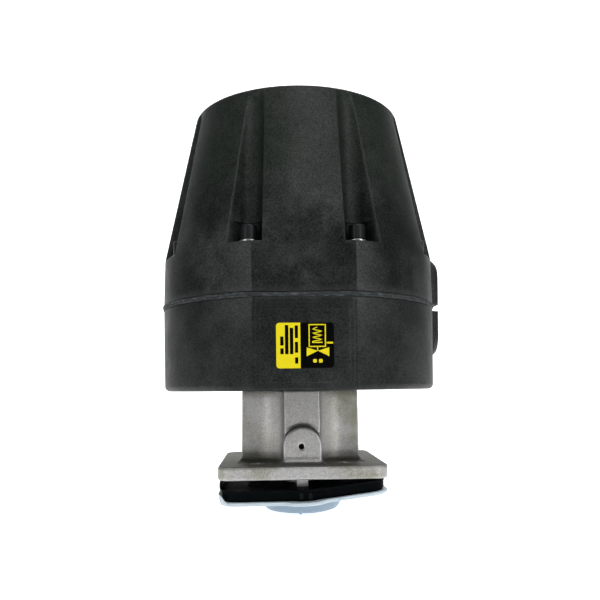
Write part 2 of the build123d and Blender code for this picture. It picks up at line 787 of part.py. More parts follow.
outer_spring, inner_spring = springs()
pieces = {
    "bonnet": make_bonnet(),
    "bonnet_screws": make_bonnet_screws(),
    "floor_seal": make_floor_seal(),
    "spindle_bushing": make_bushing(),
    "spindle_seals": make_spindle_seals(),
    "bushing_ring": make_bushing_ring(),
    "bottom_cover": make_bottom_cover(),
    "label": make_label(),
    "bolt_inserts": make_inserts(),
    "lower_port_insert": make_port_insert(lower_port_z),
    "upper_port_insert": make_port_insert(upper_port_z),
    "actuator_diaphragm": make_sheet(),
    "top_cover": make_top_cover(),
    "cover_bolts": make_cover_bolts(),
    "bolt_washers": make_bolt_washers(),
    "bolt_caps": make_bolt_caps(),
    "indicator_cap": make_indicator_cap(),
    "cap_seal": make_cap_seal(),
    "outer_spring": outer_spring,
    "inner_spring": inner_spring,
    "valve_diaphragm_backing": make_backing(),
    "valve_diaphragm_face": make_face_sheet(),
    "spindle": make_spindle(),
    "lower_plate": make_lower_plate(),
    "upper_plate": make_upper_plate(),
    "plate_washer": make_washer(),
    "plate_nut": make_nut(),
    "indicator_rod": make_indicator(),
    "compressor": make_compressor(),
    "compressor_pin": cross_pin(0.0, compressor_radius),
    "diaphragm_stud": make_stud(),
}

for name, shape in pieces.items():
    solids = shape if isinstance(shape, list) else [shape]
    group = Compound(children=[s for item in solids for s in item.solids()])
    export_step(group, f"parts/{name}.step")
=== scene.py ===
"""Looks of the air-opened, spring-closed diaphragm valve head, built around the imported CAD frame."""

import math

import bmesh
import bpy
import numpy as np
from bpy.props import FloatProperty, FloatVectorProperty, IntProperty, PointerProperty
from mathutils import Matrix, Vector


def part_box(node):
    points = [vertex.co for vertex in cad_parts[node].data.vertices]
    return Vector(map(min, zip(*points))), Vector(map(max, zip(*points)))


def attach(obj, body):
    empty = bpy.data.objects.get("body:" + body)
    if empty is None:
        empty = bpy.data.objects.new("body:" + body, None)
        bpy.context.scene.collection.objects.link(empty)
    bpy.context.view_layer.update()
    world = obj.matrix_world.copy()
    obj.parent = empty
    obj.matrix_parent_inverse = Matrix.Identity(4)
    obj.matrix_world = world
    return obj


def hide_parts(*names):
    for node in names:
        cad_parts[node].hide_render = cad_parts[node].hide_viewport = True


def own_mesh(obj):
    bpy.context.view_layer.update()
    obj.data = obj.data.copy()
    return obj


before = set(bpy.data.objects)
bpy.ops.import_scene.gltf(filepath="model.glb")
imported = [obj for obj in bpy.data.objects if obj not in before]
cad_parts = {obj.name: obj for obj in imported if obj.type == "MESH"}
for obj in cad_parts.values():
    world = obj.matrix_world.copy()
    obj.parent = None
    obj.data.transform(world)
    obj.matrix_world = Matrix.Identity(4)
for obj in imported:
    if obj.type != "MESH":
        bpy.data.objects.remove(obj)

bl_info = {
    "name": "Diaphragm Valve Head",
    "version": (1, 0, 0),
    "blender": (4, 5, 0),
    "location": "3D View > Sidebar > Valve Head",
    "description": "Builds the visible pieces and materials of a diaphragm valve head",
    "category": "Add Mesh",
}

MM = 0.001
HOUSING = "housing"


# ---- values from the frame ----

def low(node):
    """Lowest corner of a CAD node, in metres."""
    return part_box(node)[0]


def high(node):
    """Highest corner of a CAD node, in metres."""
    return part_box(node)[1]


SEAM_LOW = high("bottom_cover").z
SEAM_HIGH = low("top_cover").z
COVER_TOP = high("top_cover").z
NECK_TOP = low("bottom_cover").z
BODY_RADIUS = -low("bottom_cover").x
LEDGE = low("bolt_washers").z
PAD_FACE = high("top_cover").x
LABEL_LOW = low("label")
LABEL_HIGH = high("label")
PORT_HIGH = (low("upper_port_insert").z + high("upper_port_insert").z) / 2
PORT_LOW = (low("lower_port_insert").z + high("lower_port_insert").z) / 2
PORT_RADIUS = (high("upper_port_insert").z - low("upper_port_insert").z) / 2
PORT_SEAT = low("upper_port_insert").x


# ---- fixed sizes, in metres ----

FAR = 9.0                   # stands for no wall in a direction
SEAM_EDGE = 0.0006          # softened edge of both covers at the seam
RUN_OUT_RATE = 0.12         # how fast a flute runs out below the top
BOSS_RADIUS = 0.017         # boss under the top cover's ceiling
BOSS_DEPTH = 0.009
ROD_HOLE = 0.0034           # hole for the indicator rod
CEILING_RADIUS = 0.052      # where the ceiling meets the leaning inner wall
TOP_INSIDE = 0.060          # inner radius of the top cover
BOTTOM_INSIDE = 0.064       # inner radius of the bottom cover
BOTTOM_FLOOR = 0.007        # thickness of the bottom cover's floor
BUSHING_HOLE = 0.0171       # hole for the spindle's bushing
GROOVE_DEPTH = 0.0008       # shallow groove in the bottom cover's underside
DUCT_RADIUS = 0.0025        # narrow air duct behind a port
DUCT_END = 0.056
PAD_BACK = 0.068            # where a port's pad starts, inside the wall
PAD_EDGE = 0.0006           # gap from the seam to a pad
UPPER_PAD_TOP = 0.0286
LOWER_PAD_BOTTOM = 0.0276
THREAD_RADIUS = 0.00575     # a port's thread: its middle, pitch and ridge
THREAD_PITCH = 0.00134
THREAD_RIDGE = 0.0004
FIN_HEIGHT = 0.0130         # the compressor's fins, and the slots that they slide in
FIN_HALF = 0.00315
FIN_GAP = 0.0003
SLOT_REACH = 0.0308
STROKE = 0.0100             # how far the spindle lifts
CHAMBER_RADIUS = 0.0118     # round room for the compressor
CHAMBER_HEADROOM = 0.0105
TOOL_CLEAR = 0.002          # how far a cutting tool starts outside the casting
WEEP_DEPTH = 0.008          # distance from the axis at which the weep hole ends
DRAFT_START = 0.010         # height at which the neck starts to lean
DRAFT_RADIUS = 0.0300       # the lean fades in outside this radius
DRAFT_BLEND = 0.0035
FLANGE_TOP = 0.0073
WEEP_PAD_HALF = 0.0103      # the weep pad's half width, front and root
WEEP_PAD_FRONT = 0.0363
WEEP_PAD_ROOT = 0.0335
BACKING_HALF = 0.0442       # where the bent diaphragm has reached the flange
FLANGE_GAP = 0.00035
BEND_EASE = 0.004           # length over which the bend begins
HOLE_ACROSS = 0.026         # the diaphragm's bolt holes from the axis
HOLE_ALONG = 0.023
LIP_HALF_LENGTH = 0.0365    # the lip on the diaphragm's left edge
LIP_HALF_WIDTH = 0.0012
LIP_HALF_HEIGHT = 0.0031
RIM_INSIDE = 0.0605         # inner radius of the sheet's clamped rim
WASHER_RADIUS = 0.0049
WASHER_HOLE = 0.00225
WINDOW_FLANGE = 0.017       # the clear cap's flange, thread and dome
WINDOW_THREAD = 0.0129
WINDOW_DOME = 0.0124
WINDOW_WALL = 0.0026


# ---- small helpers ----

def size(name, default, text):
    """A length in metres that a user can change."""
    return FloatProperty(name=name, default=default, description=text, unit="LENGTH", precision=5)


def share(name, default, text):
    """A plain number that a user can change."""
    return FloatProperty(name=name, default=default, description=text)


def angle(name, degrees, text):
    """An angle that a user can change."""
    return FloatProperty(name=name, default=math.radians(degrees), description=text, unit="ROTATION")


def linear(code):
    """sRGB hex to linear red, green and blue."""
    parts = [int(code[i:i + 2], 16) / 255 for i in (1, 3, 5)]
    return [p / 12.92 if p <= 0.04045 else ((p + 0.055) / 1.055) ** 2.4 for p in parts]


def colour(name, code, text):
    """A colour, given as sRGB hex, that a user can change."""
    return FloatVectorProperty(
        name=name, default=linear(code), size=3, min=0.0, max=1.0, subtype="COLOR", description=text)


def rgba(value):
    """A colour property as four numbers."""
    return (value[0], value[1], value[2], 1.0)


# ---- settings ----

class HeadSizes(bpy.types.PropertyGroup):
    """Sizes of the visible pieces, in metres."""
    band_draft: angle("Band draft", 2.0, "Lean of the upright band above the seam")
    cone_draft: angle("Cone draft", 13.0, "Lean of the tapering wall")
    flat_draft: angle("Flat draft", 1.8, "Lean of the front flat above the seam")
    band_height: size("Band height", 0.0262, "Height of the upright band above the seam")
    top_edge: size("Top edge", 0.0015, "Radius of the top cover's upper edge")
    bottom_edge: size("Bottom edge", 0.003, "Radius of the bottom cover's lower edge")
    crease_soft: size("Flat's edge", 0.00012, "Softness of the line between the front flat and the wall")
    edge_soft: size("Moulded edge", 0.0010, "Softness of moulded edges")
    bolt_circle: size("Bolt circle", 0.0713, "Radius of the cover bolts' circle")
    bolt_count: IntProperty(name="Bolts", default=8, min=3, max=16, description="Number of cover bolts")
    flute_radius: size("Flute radius", 0.0063, "Radius of the back of each flute")
    flute_flare: angle("Flute flare", 25.0, "Angle at which each flute's walls open")
    flute_lean: angle("Flute lean", 4.8, "Lean of each flute's back")
    flute_end: size("Flute end", 0.0045, "Height over which each flute runs out below the top")
    pocket_radius: size("Pocket radius", 0.0079, "Radius of the pocket around each bolt's head")
    pocket_height: size("Pocket height", 0.0116, "Height of the pocket around each bolt's head")
    recess_radius: size("Cap recess", 0.013, "Radius of the recess under the indicator cap")
    recess_depth: size("Recess depth", 0.009, "Depth of the recess under the indicator cap")
    wall: size("Wall", 0.008, "Thickness of the top cover's ceiling")
    front_flat: size("Front flat", 0.0744, "Distance from the axis to the front flat")
    panel_half: size("Panel half width", 0.0245, "Half the front panel's width")
    panel_corner: size("Panel corner", 0.004, "Radius of the front panel's lower corners")
    panel_lift: size("Panel lift", 0.0008, "Gap from the underside to the front panel")
    panel_proud: size("Panel proud", 0.00030, "How far the front panel stands out")
    plate_half: size("Label panel half width", 0.0223, "Half the label panel's width")
    plate_height: size("Label panel height", 0.036, "Height of the label's panel")
    plate_top_inset: size("Label panel inset", 0.0063, "Gap from the seam to the label's panel")
    plate_proud: size("Label panel proud", 0.0003, "How far the label's panel stands out")
    pad_half: size("Port pad half width", 0.013, "Half the width of a port's pad")
    pad_slope: size("Port pad slope", 0.0026, "Size of the sloped edge around a port's pad")
    neck_draft: share("Neck draft", 0.017, "Share by which the neck narrows towards its top")
    foot_height: size("Pad foot height", 0.0050, "Height of the flared foot of the weep pad")
    foot_flare: size("Pad foot flare", 0.0030, "How far the weep pad's foot flares")
    casting_grain: size("Casting grain", 0.0006, "Size of the casting's smallest shapes")
    weep_radius: size("Weep hole", 0.0015, "Radius of the weep hole")
    weep_offset: size("Weep hole offset", -0.0009, "Distance of the weep hole from the pad's middle")
    weep_height: size("Weep hole height", 0.0171, "Height of the weep hole above the flange's underside")
    droop: size("Droop", 0.0056, "How far the hanging diaphragm sits below the flange")
    bend_start: size("Bend start", 0.003, "Where the hanging diaphragm starts to bend up")
    backing_thickness: size("Backing thickness", 0.006, "Thickness of the rubber backing")
    face_thickness: size("Face thickness", 0.0019, "Thickness of the fluoropolymer face")
    backing_width: size("Backing width", 0.0884, "Width of the rubber backing")
    face_width: size("Face width", 0.0923, "Width of the fluoropolymer face")
    tab_ribs: FloatVectorProperty(
        name="Tab ribs", size=2, default=(-0.0013, 0.0035), unit="LENGTH",
        description="Distances of the front tab's two ribs from the middle")
    edge_curl: size("Edge curl", 0.0042, "How far the face's thin left edge curls up")
    belly_shift: size("Belly shift", 0.0010, "How far the belly sits right of the middle")
    belly_radius: size("Belly radius", 0.0276, "Radius of the belly at its rim")
    belly_floor: size("Belly floor", 0.0205, "Radius of the belly's floor")
    belly_depth: size("Belly depth", 0.0112, "Depth of the belly")
    belly_rise: size("Belly rise", 0.0024, "Hollow of the belly's floor")
    diaphragm_hole: size("Diaphragm hole", 0.0052, "Radius of the diaphragm's bolt holes")
    rim_wave: size("Rim wave", 0.00035, "How far the sheet's cut edge waves in and out")
    rim_rough: size("Rim roughness", 0.00007, "Fine roughness of the sheet's cut edge")
    diaphragm_keep: share("Diaphragm keep", 0.63, "Share of its depth that the diaphragm keeps when lifted")
    web_keep: share("Web keep", 0.27, "Share of its depth that the sheet keeps when lifted")
    spring_keep: share("Spring keep", 0.907, "Share of their length that the springs keep when pressed")


class HeadColours(bpy.types.PropertyGroup):
    """Colours of the finishes."""
    plastic: colour("Moulded black", "#151818", "Glass-filled nylon, its usual tone")
    plastic_dark: colour("Moulded black, dark", "#0d1110", "Glass-filled nylon, its darker clouds")
    # Pale tone for clouds and scratches; also painted as a lighter sheen beside the lower front panel and on
    # convex edges.
    plastic_warm: colour("Moulded black, worn", "#292b2a", "Glass-filled nylon, where handling has dulled it")
    # Painted top light: a lighter, faintly green tone painted on the tapering wall above the front arch.
    plastic_lit_top: colour(
        "Moulded black, untouched", "#18201b", "Glass-filled nylon where nothing has rubbed it")
    steel: colour("Cast stainless", "#aaa9a9", "Bead-blasted stainless casting")
    # Dull olive: random dull patches and tool rings, and on the bonnet also the painted shade of the neck's
    # sides.
    steel_dark: colour("Cast stainless, dull", "#888879", "Stainless casting where it has dulled")
    # Painted shade: dark olive painted into the crease beside the rib, the neck's root, faces turned up and
    # under the cover.
    steel_painted_shade: colour("Cast stainless, tarnished", "#5d5c4e", "Stainless casting in its hollows")
    rubber: colour("Rubber", "#020506", "Moulded black rubber")
    sheet: colour("Fabric rubber", "#1d2426", "Cut edge of the fabric-reinforced sheet")
    sheet_pale: colour("Fabric fibre", "#4a5355", "Fibres at the sheet's cut edge")
    white: colour("Fluoropolymer", "#c3cfd6", "White, slightly translucent fluoropolymer")
    # Painted shade: the cool grey-blue painted on the hollow belly.
    white_shaded: colour("Fluoropolymer, hollow", "#7f92a3", "Fluoropolymer where its belly is hollow")
    label_yellow: colour("Label yellow", "#d8c81e", "Printed yellow")
    label_black: colour("Label black", "#040404", "Printed black")
    cap: colour("Cap black", "#0b0c0d", "Satin black bolt cap")
    bright: colour("Bright steel", "#d5d6d6", "Bright stainless fasteners")
    brass: colour("Brass", "#c9a14f", "Machined brass insert")
    red: colour("Indicator red", "#c1221b", "Moulded red indicator")
    clear: colour("Clear plastic", "#f3f7f6", "Clear moulded cap")


def sizes():
    """The sizes in use."""
    return bpy.context.scene.head_sizes


def colours():
    """The colours in use."""
    return bpy.context.scene.head_colours


# ---- node trees ----

def add(tree, kind, inputs=None, **settings):
    """Adds a node with its settings, and sets or links its inputs."""
    node = tree.nodes.new(kind)
    for key, value in settings.items():
        setattr(node, key, value)
    for key, value in (inputs or {}).items():
        if isinstance(value, bpy.types.NodeSocket):
            tree.links.new(value, node.inputs[key])
        else:
            node.inputs[key].default_value = value
    return node


def ramp(tree, factor, stops):
    """A colour ramp node with the given stops."""
    node = add(tree, "ShaderNodeValToRGB", {"Fac": factor})
    bar = node.color_ramp
    while len(bar.elements) > 1:
        bar.elements.remove(bar.elements[-1])
    for index, (place, value) in enumerate(stops):
        shade = value if len(value) == 4 else rgba(value)
        point = bar.elements[0] if index == 0 else bar.elements.new(place)
        point.position = place
        point.color = shade
    return node.outputs["Color"]


def grey(value):
    """A grey level as a colour."""
    return (value, value, value, 1.0)


def material(name):
    """An empty material with a Principled shader, and its tree, shader and object coordinates."""
    mat = bpy.data.materials.new(name)
    mat.use_nodes = True
    tree = mat.node_tree
    tree.nodes.clear()
    shader = add(tree, "ShaderNodeBsdfPrincipled")
    output = add(tree, "ShaderNodeOutputMaterial", {"Surface": shader.outputs["BSDF"]})
    output.target = "ALL"
    where = add(tree, "ShaderNodeTexCoord").outputs["Object"]
    return mat, tree, shader, where


def noise(tree, where, millimetres, detail=3.0, roughness=0.5, distortion=0.0, stretch=None):
    """Noise whose features are about the given size; stretch lengthens them along each axis."""
    vector = where
    if stretch:
        inverse = tuple(1.0 / s for s in stretch)
        vector = add(tree, "ShaderNodeMapping", {"Vector": where, "Scale": inverse}).outputs["Vector"]
    node = add(tree, "ShaderNodeTexNoise", {
        "Vector": vector, "Scale": 1.0 / (millimetres * MM), "Detail": detail,
        "Roughness": roughness, "Distortion": distortion})
    return node.outputs["Fac"]


def mix(tree, factor, first, second, kind="MIX"):
    """Mixes two colours."""
    node = add(tree, "ShaderNodeMix", data_type="RGBA", blend_type=kind)
    for index, value in ((0, factor), (6, first), (7, second)):
        if isinstance(value, bpy.types.NodeSocket):
            tree.links.new(value, node.inputs[index])
        else:
            node.inputs[index].default_value = value
    return node.outputs[2]


def spread(tree, value, low_out, high_out, low_in=0.0, high_in=1.0):
    """Maps a value from one range to another."""
    node = add(tree, "ShaderNodeMapRange", {
        "Value": value, "From Min": low_in, "From Max": high_in, "To Min": low_out, "To Max": high_out})
    return node.outputs["Result"]


def times(tree, first, second, operation="MULTIPLY"):
    """Combines two values."""
    node = add(tree, "ShaderNodeMath", operation=operation)
    for index, value in enumerate((first, second)):
        if isinstance(value, bpy.types.NodeSocket):
            tree.links.new(value, node.inputs[index])
        else:
            node.inputs[index].default_value = value
    return node.outputs[0]


def bump(tree, height, millimetres, strength=1.0, normal=None):
    """Bump of a real height."""
    inputs = {"Height": height, "Distance": millimetres * MM, "Strength": strength}
    if normal:
        inputs["Normal"] = normal
    return add(tree, "ShaderNodeBump", inputs).outputs["Normal"]


# ---- finishes ----

def height_share(tree, where, low_mm, high_mm):
    """Runs from 0 to 1 between two heights on the object."""
    up = add(tree, "ShaderNodeSeparateXYZ", {"Vector": where}).outputs["Z"]
    return spread(tree, up, 0.0, 1.0, low_mm * MM, high_mm * MM)


def glass_filled_nylon_moulded():
    """Glass-filled nylon straight from the mould: a dull black skin with pale clouds, fine grain and slanting
    scratches where the covers are handled; painted top light makes the wall above the front arch lighter and
    faintly green, a painted sheen lightens the wall beside the lower front panel, and convex edges are
    lighter, partly from wear and partly as a painted edge highlight."""
    tones = colours()
    mat, tree, shader, where = material("glass_filled_nylon_moulded")
    clouds = noise(tree, where, 34, 4.0, 0.55, 0.4)
    patches = noise(tree, where, 9, 6.0, 0.62)
    grain = noise(tree, where, 0.9, 4.0, 0.75)
    specks = noise(tree, where, 1.5, 2.0, 0.5)
    turned = add(tree, "ShaderNodeMapping", {"Vector": where, "Rotation": (0.0, 0.85, 0.1)}).outputs["Vector"]
    scratches = noise(tree, turned, 0.9, 2.0, 0.5, 0.0, (0.5, 0.8, 10.0))
    handled = times(tree, height_share(tree, where, 86, 104), height_share(tree, where, 176, 146))
    # Painted top light: a lighter, faintly green tone painted on the tapering wall above the front arch.
    painted_top_light = height_share(tree, where, 140, 160)
    base = ramp(tree, clouds, [
        (0.34, tones.plastic_dark), (0.50, tones.plastic), (0.66, tones.plastic_warm)])
    base = mix(tree, spread(tree, handled, 0.55, 0.05), base, rgba(tones.plastic))
    # Painted sheen: a lighter, glossier band painted on the round wall just beside the lower front panel,
    # where the side lamps catch the curve.
    axes = add(tree, "ShaderNodeSeparateXYZ", {"Vector": where})
    across = times(tree, axes.outputs["X"], 0.0, "ABSOLUTE")
    front = spread(tree, axes.outputs["Y"], 1.0, 0.0, -0.066, -0.060)
    low_part = height_share(tree, where, 128, 121)
    beside = times(tree, spread(tree, across, 0.0, 1.0, 0.0257, 0.0261),
                   spread(tree, across, 1.0, 0.0, 0.026, 0.044))
    beside = times(tree, times(tree, beside, front), times(tree, low_part, height_share(tree, where, 70, 97)))
    base = mix(tree, times(tree, beside, 0.8), base, rgba(tones.plastic_warm))
    base = mix(tree, times(tree, painted_top_light, 0.75), base, rgba(tones.plastic_lit_top))
    mottle = ramp(tree, patches, [(0.36, grey(0.40)), (0.64, grey(0.62))])
    shade = mix(tree, spread(tree, handled, 0.35, 0.9), base, mottle, "OVERLAY")
    fine = ramp(tree, grain, [(0.40, grey(0.26)), (0.60, grey(0.74))])
    shade = mix(tree, spread(tree, handled, 0.6, 0.9), shade, fine, "OVERLAY")
    marks = ramp(tree, scratches, [(0.62, grey(0.0)), (0.72, grey(1.0))])
    zone = times(tree, ramp(tree, clouds, [(0.40, grey(0.0)), (0.55, grey(1.0))]), handled)
    marks_here = times(tree, marks, zone)
    shade = mix(tree, times(tree, marks_here, 0.45), shade, rgba(tones.plastic_warm))
    dust = ramp(tree, specks, [(0.74, grey(0.0)), (0.80, grey(1.0))])
    shade = mix(tree, times(tree, dust, 0.25), shade, grey(0.12))
    # Convex edges lighter: partly rubbed wear, partly a painted edge highlight.
    rubbed = ramp(tree, add(tree, "ShaderNodeNewGeometry").outputs["Pointiness"],
                  [(0.507, grey(0.0)), (0.54, grey(1.0))])
    shade = mix(tree, times(tree, rubbed, 0.55), shade, rgba(tones.plastic_warm))
    tree.links.new(shade, shader.inputs["Base Color"])
    rough = times(tree, spread(tree, patches, 0.40, 0.56, 0.3, 0.7), spread(tree, grain, -0.05, 0.06), "ADD")
    tree.links.new(rough, shader.inputs["Roughness"])
    shader.inputs["IOR"].default_value = 1.53
    sheen = times(tree, clouds, patches)
    gloss = times(tree, spread(tree, sheen, 0.14, 0.24, 0.12, 0.36),
                  spread(tree, grain, -0.09, 0.09, 0.36, 0.64), "ADD")
    gloss = times(tree, gloss, times(tree, beside, 0.14), "ADD")
    tree.links.new(gloss, shader.inputs["Specular IOR Level"])
    relief = bump(tree, grain, 0.06, 1.0)
    relief = bump(tree, patches, 0.06, 0.5, relief)
    relief = bump(tree, times(tree, scratches, zone), 0.02, 0.4, relief)
    tree.links.new(relief, shader.inputs["Normal"])
    return mat


def cast_stainless_blasted():
    """Investment-cast stainless, bead-blasted: an even satin grain with soft sparkle, painted highlights on
    convex edges, painted olive shade in the crease beside the rib, at the root of the neck, on faces turned
    up and under the cover, and the neck's sides left duller than the rib and pad as painted shade."""
    tones = colours()
    mat, tree, shader, where = material("cast_stainless_blasted")
    beads = noise(tree, where, 0.75, 3.0, 0.62)
    fine = noise(tree, where, 0.32, 2.0, 0.5)
    stains = noise(tree, where, 14, 4.0, 0.6)
    form = add(tree, "ShaderNodeNewGeometry").outputs["Pointiness"]
    tone = ramp(tree, stains, [(0.35, tones.steel_dark), (0.62, tones.steel)])
    # Painted shade: the neck's sides keep the dull olive patches, while the rib and pad near the middle are
    # kept plain bright steel.
    across = times(tree, add(tree, "ShaderNodeSeparateXYZ", {"Vector": where}).outputs["X"], 0.0, "ABSOLUTE")
    tone = mix(tree, spread(tree, across, 0.9, 0.0, 0.011, 0.024), tone, rgba(tones.steel))
    # Painted shade: darker olive painted at the root of the neck, on faces turned up towards the dark cover
    # and under the cover, kept off the weep pad; the same mask lowers metallic and raises roughness.
    root = height_share(tree, where, 13.0, 6.8)
    shade_under_cover = height_share(tree, where, 42.5, 48.5)
    painted_shade_mask = times(tree, times(tree, root, height_share(tree, where, 5.6, 7.2)), shade_under_cover, "MAXIMUM")
    faces = add(tree, "ShaderNodeTexCoord").outputs["Normal"]
    painted_reflection_up = add(tree, "ShaderNodeSeparateXYZ", {"Vector": faces}).outputs["Z"]
    painted_shade_mask = times(tree, painted_shade_mask, spread(tree, painted_reflection_up, 0.0, 0.8, 0.5, 0.95), "MAXIMUM")
    painted_shade_mask = times(tree, painted_shade_mask, spread(tree, across, 0.1, 1.0, 0.0115, 0.0150))
    tone = mix(tree, times(tree, painted_shade_mask, 0.85), tone, rgba(tones.steel_painted_shade))
    # Painted shade in the concave crease between the rib and the neck.
    crease_shade = times(tree, ramp(tree, form, [(0.40, grey(0.85)), (0.495, grey(0.0))]),
                   spread(tree, across, 0.15, 1.0, 0.0095, 0.0135))
    tone = mix(tree, crease_shade, tone, rgba(tones.steel_painted_shade))
    # Painted highlight: convex edges lightened towards bright steel.
    tone = mix(tree, ramp(tree, form, [(0.51, grey(0.0)), (0.58, grey(0.8))]), tone, rgba(tones.bright))
    sparkle = ramp(tree, beads, [(0.32, grey(0.34)), (0.68, grey(0.68))])
    tone = mix(tree, 0.75, tone, sparkle, "OVERLAY")
    tree.links.new(tone, shader.inputs["Base Color"])
    tree.links.new(spread(tree, painted_shade_mask, 1.0, 0.6), shader.inputs["Metallic"])
    rough = times(tree, spread(tree, beads, 0.30, 0.46, 0.3, 0.7), spread(tree, painted_shade_mask, 0.0, 0.25), "ADD")
    tree.links.new(rough, shader.inputs["Roughness"])
    relief = bump(tree, beads, 0.08, 1.0)
    relief = bump(tree, fine, 0.02, 0.6, relief)
    tree.links.new(relief, shader.inputs["Normal"])
    return mat


def turned_stainless():
    """Turned and drawn stainless: bright, with fine rings from the tool."""
    tones = colours()
    mat, tree, shader, where = material("turned_stainless")
    rings = noise(tree, where, 0.5, 2.0, 0.5, 0.0, (8.0, 8.0, 0.4))
    tree.links.new(mix(tree, spread(tree, rings, 0.0, 0.35), rgba(tones.bright), rgba(tones.steel_dark)),
                   shader.inputs["Base Color"])
    shader.inputs["Metallic"].default_value = 1.0
    tree.links.new(spread(tree, rings, 0.20, 0.36), shader.inputs["Roughness"])
    tree.links.new(bump(tree, rings, 0.01, 0.5), shader.inputs["Normal"])
    return mat


def zinc_plated_steel():
    """Zinc plated pressed steel: grey, slightly blue, with a soft spangle."""
    mat, tree, shader, where = material("zinc_plated_steel")
    spangle = noise(tree, where, 3.0, 2.0, 0.5)
    tree.links.new(ramp(tree, spangle, [(0.35, linear("#8d9399")), (0.65, linear("#b3b8bb"))]),
                   shader.inputs["Base Color"])
    shader.inputs["Metallic"].default_value = 1.0
    tree.links.new(spread(tree, spangle, 0.32, 0.48), shader.inputs["Roughness"])
    return mat


def epoxy_coated_spring_steel():
    """Spring wire with a dark blue-grey epoxy coat, slightly uneven."""
    mat, tree, shader, where = material("epoxy_coated_spring_steel")
    uneven = noise(tree, where, 2.0, 3.0, 0.5)
    tree.links.new(ramp(tree, uneven, [(0.3, linear("#242b38")), (0.7, linear("#303a4a"))]),
                   shader.inputs["Base Color"])
    tree.links.new(spread(tree, uneven, 0.28, 0.42), shader.inputs["Roughness"])
    tree.links.new(bump(tree, uneven, 0.03, 0.5), shader.inputs["Normal"])
    return mat


def machined_brass():
    """Machined brass: warm yellow with fine cutting marks."""
    tones = colours()
    mat, tree, shader, where = material("machined_brass")
    marks = noise(tree, where, 0.4, 2.0, 0.5, 0.0, (0.5, 6.0, 6.0))
    tree.links.new(mix(tree, spread(tree, marks, 0.0, 0.4), rgba(tones.brass), (*linear("#8d6c2f"), 1.0)),
                   shader.inputs["Base Color"])
    shader.inputs["Metallic"].default_value = 1.0
    tree.links.new(spread(tree, marks, 0.24, 0.38), shader.inputs["Roughness"])
    return mat


def nitrile_rubber_moulded():
    """Moulded nitrile rubber: deep black, faintly blue, with a soft sheen and a bloom of dust."""
    tones = colours()
    mat, tree, shader, where = material("nitrile_rubber_moulded")
    bloom = noise(tree, where, 5.0, 5.0, 0.65)
    grain = noise(tree, where, 0.6, 3.0, 0.6)
    tone = mix(tree, spread(tree, bloom, 0.0, 0.4, 0.5, 0.8), rgba(tones.rubber), (*linear("#0a1013"), 1.0))
    flecks = ramp(tree, noise(tree, where, 1.0, 2.0, 0.5), [(0.72, grey(0.0)), (0.78, grey(1.0))])
    # Painted edge highlight: convex edges lightened; the pale flecks are dust.
    edges = ramp(tree, add(tree, "ShaderNodeNewGeometry").outputs["Pointiness"],
                 [(0.53, grey(0.0)), (0.62, grey(1.0))])
    pale = times(tree, times(tree, flecks, 0.5), times(tree, edges, 0.3), "MAXIMUM")
    tone = mix(tree, pale, tone, (*linear("#3b3d3a"), 1.0))
    tree.links.new(tone, shader.inputs["Base Color"])
    tree.links.new(spread(tree, bloom, 0.42, 0.62), shader.inputs["Roughness"])
    shader.inputs["IOR"].default_value = 1.52
    shader.inputs["Specular IOR Level"].default_value = 0.03
    relief = bump(tree, grain, 0.04, 0.5)
    tree.links.new(relief, shader.inputs["Normal"])
    return mat


def fabric_rubber_cut():
    """Cut edge of a fabric-reinforced rubber sheet: grey-black, torn fibres in thin pale lines."""
    tones = colours()
    mat, tree, shader, where = material("fabric_rubber_cut")
    tear = noise(tree, where, 2.2, 5.0, 0.7, 0.0, (1.6, 1.6, 0.6))
    plies = noise(tree, where, 0.7, 2.0, 0.5, 0.0, (9.0, 9.0, 0.7))
    tone = ramp(tree, tear, [(0.36, tones.rubber), (0.52, tones.sheet), (0.74, tones.sheet_pale)])
    lines = ramp(tree, plies, [(0.42, grey(0.25)), (0.60, grey(0.66))])
    tree.links.new(mix(tree, 0.6, tone, lines, "OVERLAY"), shader.inputs["Base Color"])
    shader.inputs["Roughness"].default_value = 0.72
    relief = bump(tree, tear, 0.15, 0.9)
    tree.links.new(bump(tree, plies, 0.08, 0.8, relief), shader.inputs["Normal"])
    return mat


def fluoropolymer_moulded():
    """Moulded fluoropolymer: waxy white, light soaks into it, with faint cool shading."""
    tones = colours()
    mat, tree, shader, where = material("fluoropolymer_moulded")
    haze = noise(tree, where, 8.0, 4.0, 0.6)
    scuff = noise(tree, where, 0.8, 3.0, 0.6)
    tone = mix(tree, spread(tree, haze, 0.0, 0.5, 0.35, 0.7), rgba(tones.white), (*linear("#a9bbc8"), 1.0))
    # Painted shade: the hollow belly below the sheet is painted darker and bluer.
    hollow = height_share(tree, where, -12.6, -15.0)
    tone = mix(tree, times(tree, hollow, 0.8), tone, rgba(tones.white_shaded))
    tree.links.new(tone, shader.inputs["Base Color"])
    tree.links.new(spread(tree, scuff, 0.32, 0.5), shader.inputs["Roughness"])
    shader.inputs["IOR"].default_value = 1.38
    shader.inputs["Subsurface Weight"].default_value = 0.35
    shader.inputs["Subsurface Radius"].default_value = (0.004, 0.004, 0.004)
    shader.inputs["Subsurface Scale"].default_value = 0.6
    tree.links.new(bump(tree, scuff, 0.02, 0.5), shader.inputs["Normal"])
    return mat


def printed_film(name, tone):
    """Printed polyester label film: flat colour under a clear gloss skin, with faint ink unevenness."""
    mat, tree, shader, where = material(name)
    ink = noise(tree, where, 1.2, 4.0, 0.6)
    fade = ramp(tree, ink, [(0.3, grey(0.46)), (0.7, grey(0.54))])
    tree.links.new(mix(tree, 0.5, rgba(tone), fade, "OVERLAY"), shader.inputs["Base Color"])
    tree.links.new(spread(tree, ink, 0.30, 0.42), shader.inputs["Roughness"])
    shader.inputs["IOR"].default_value = 1.5
    shader.inputs["Specular IOR Level"].default_value = 0.04
    return mat


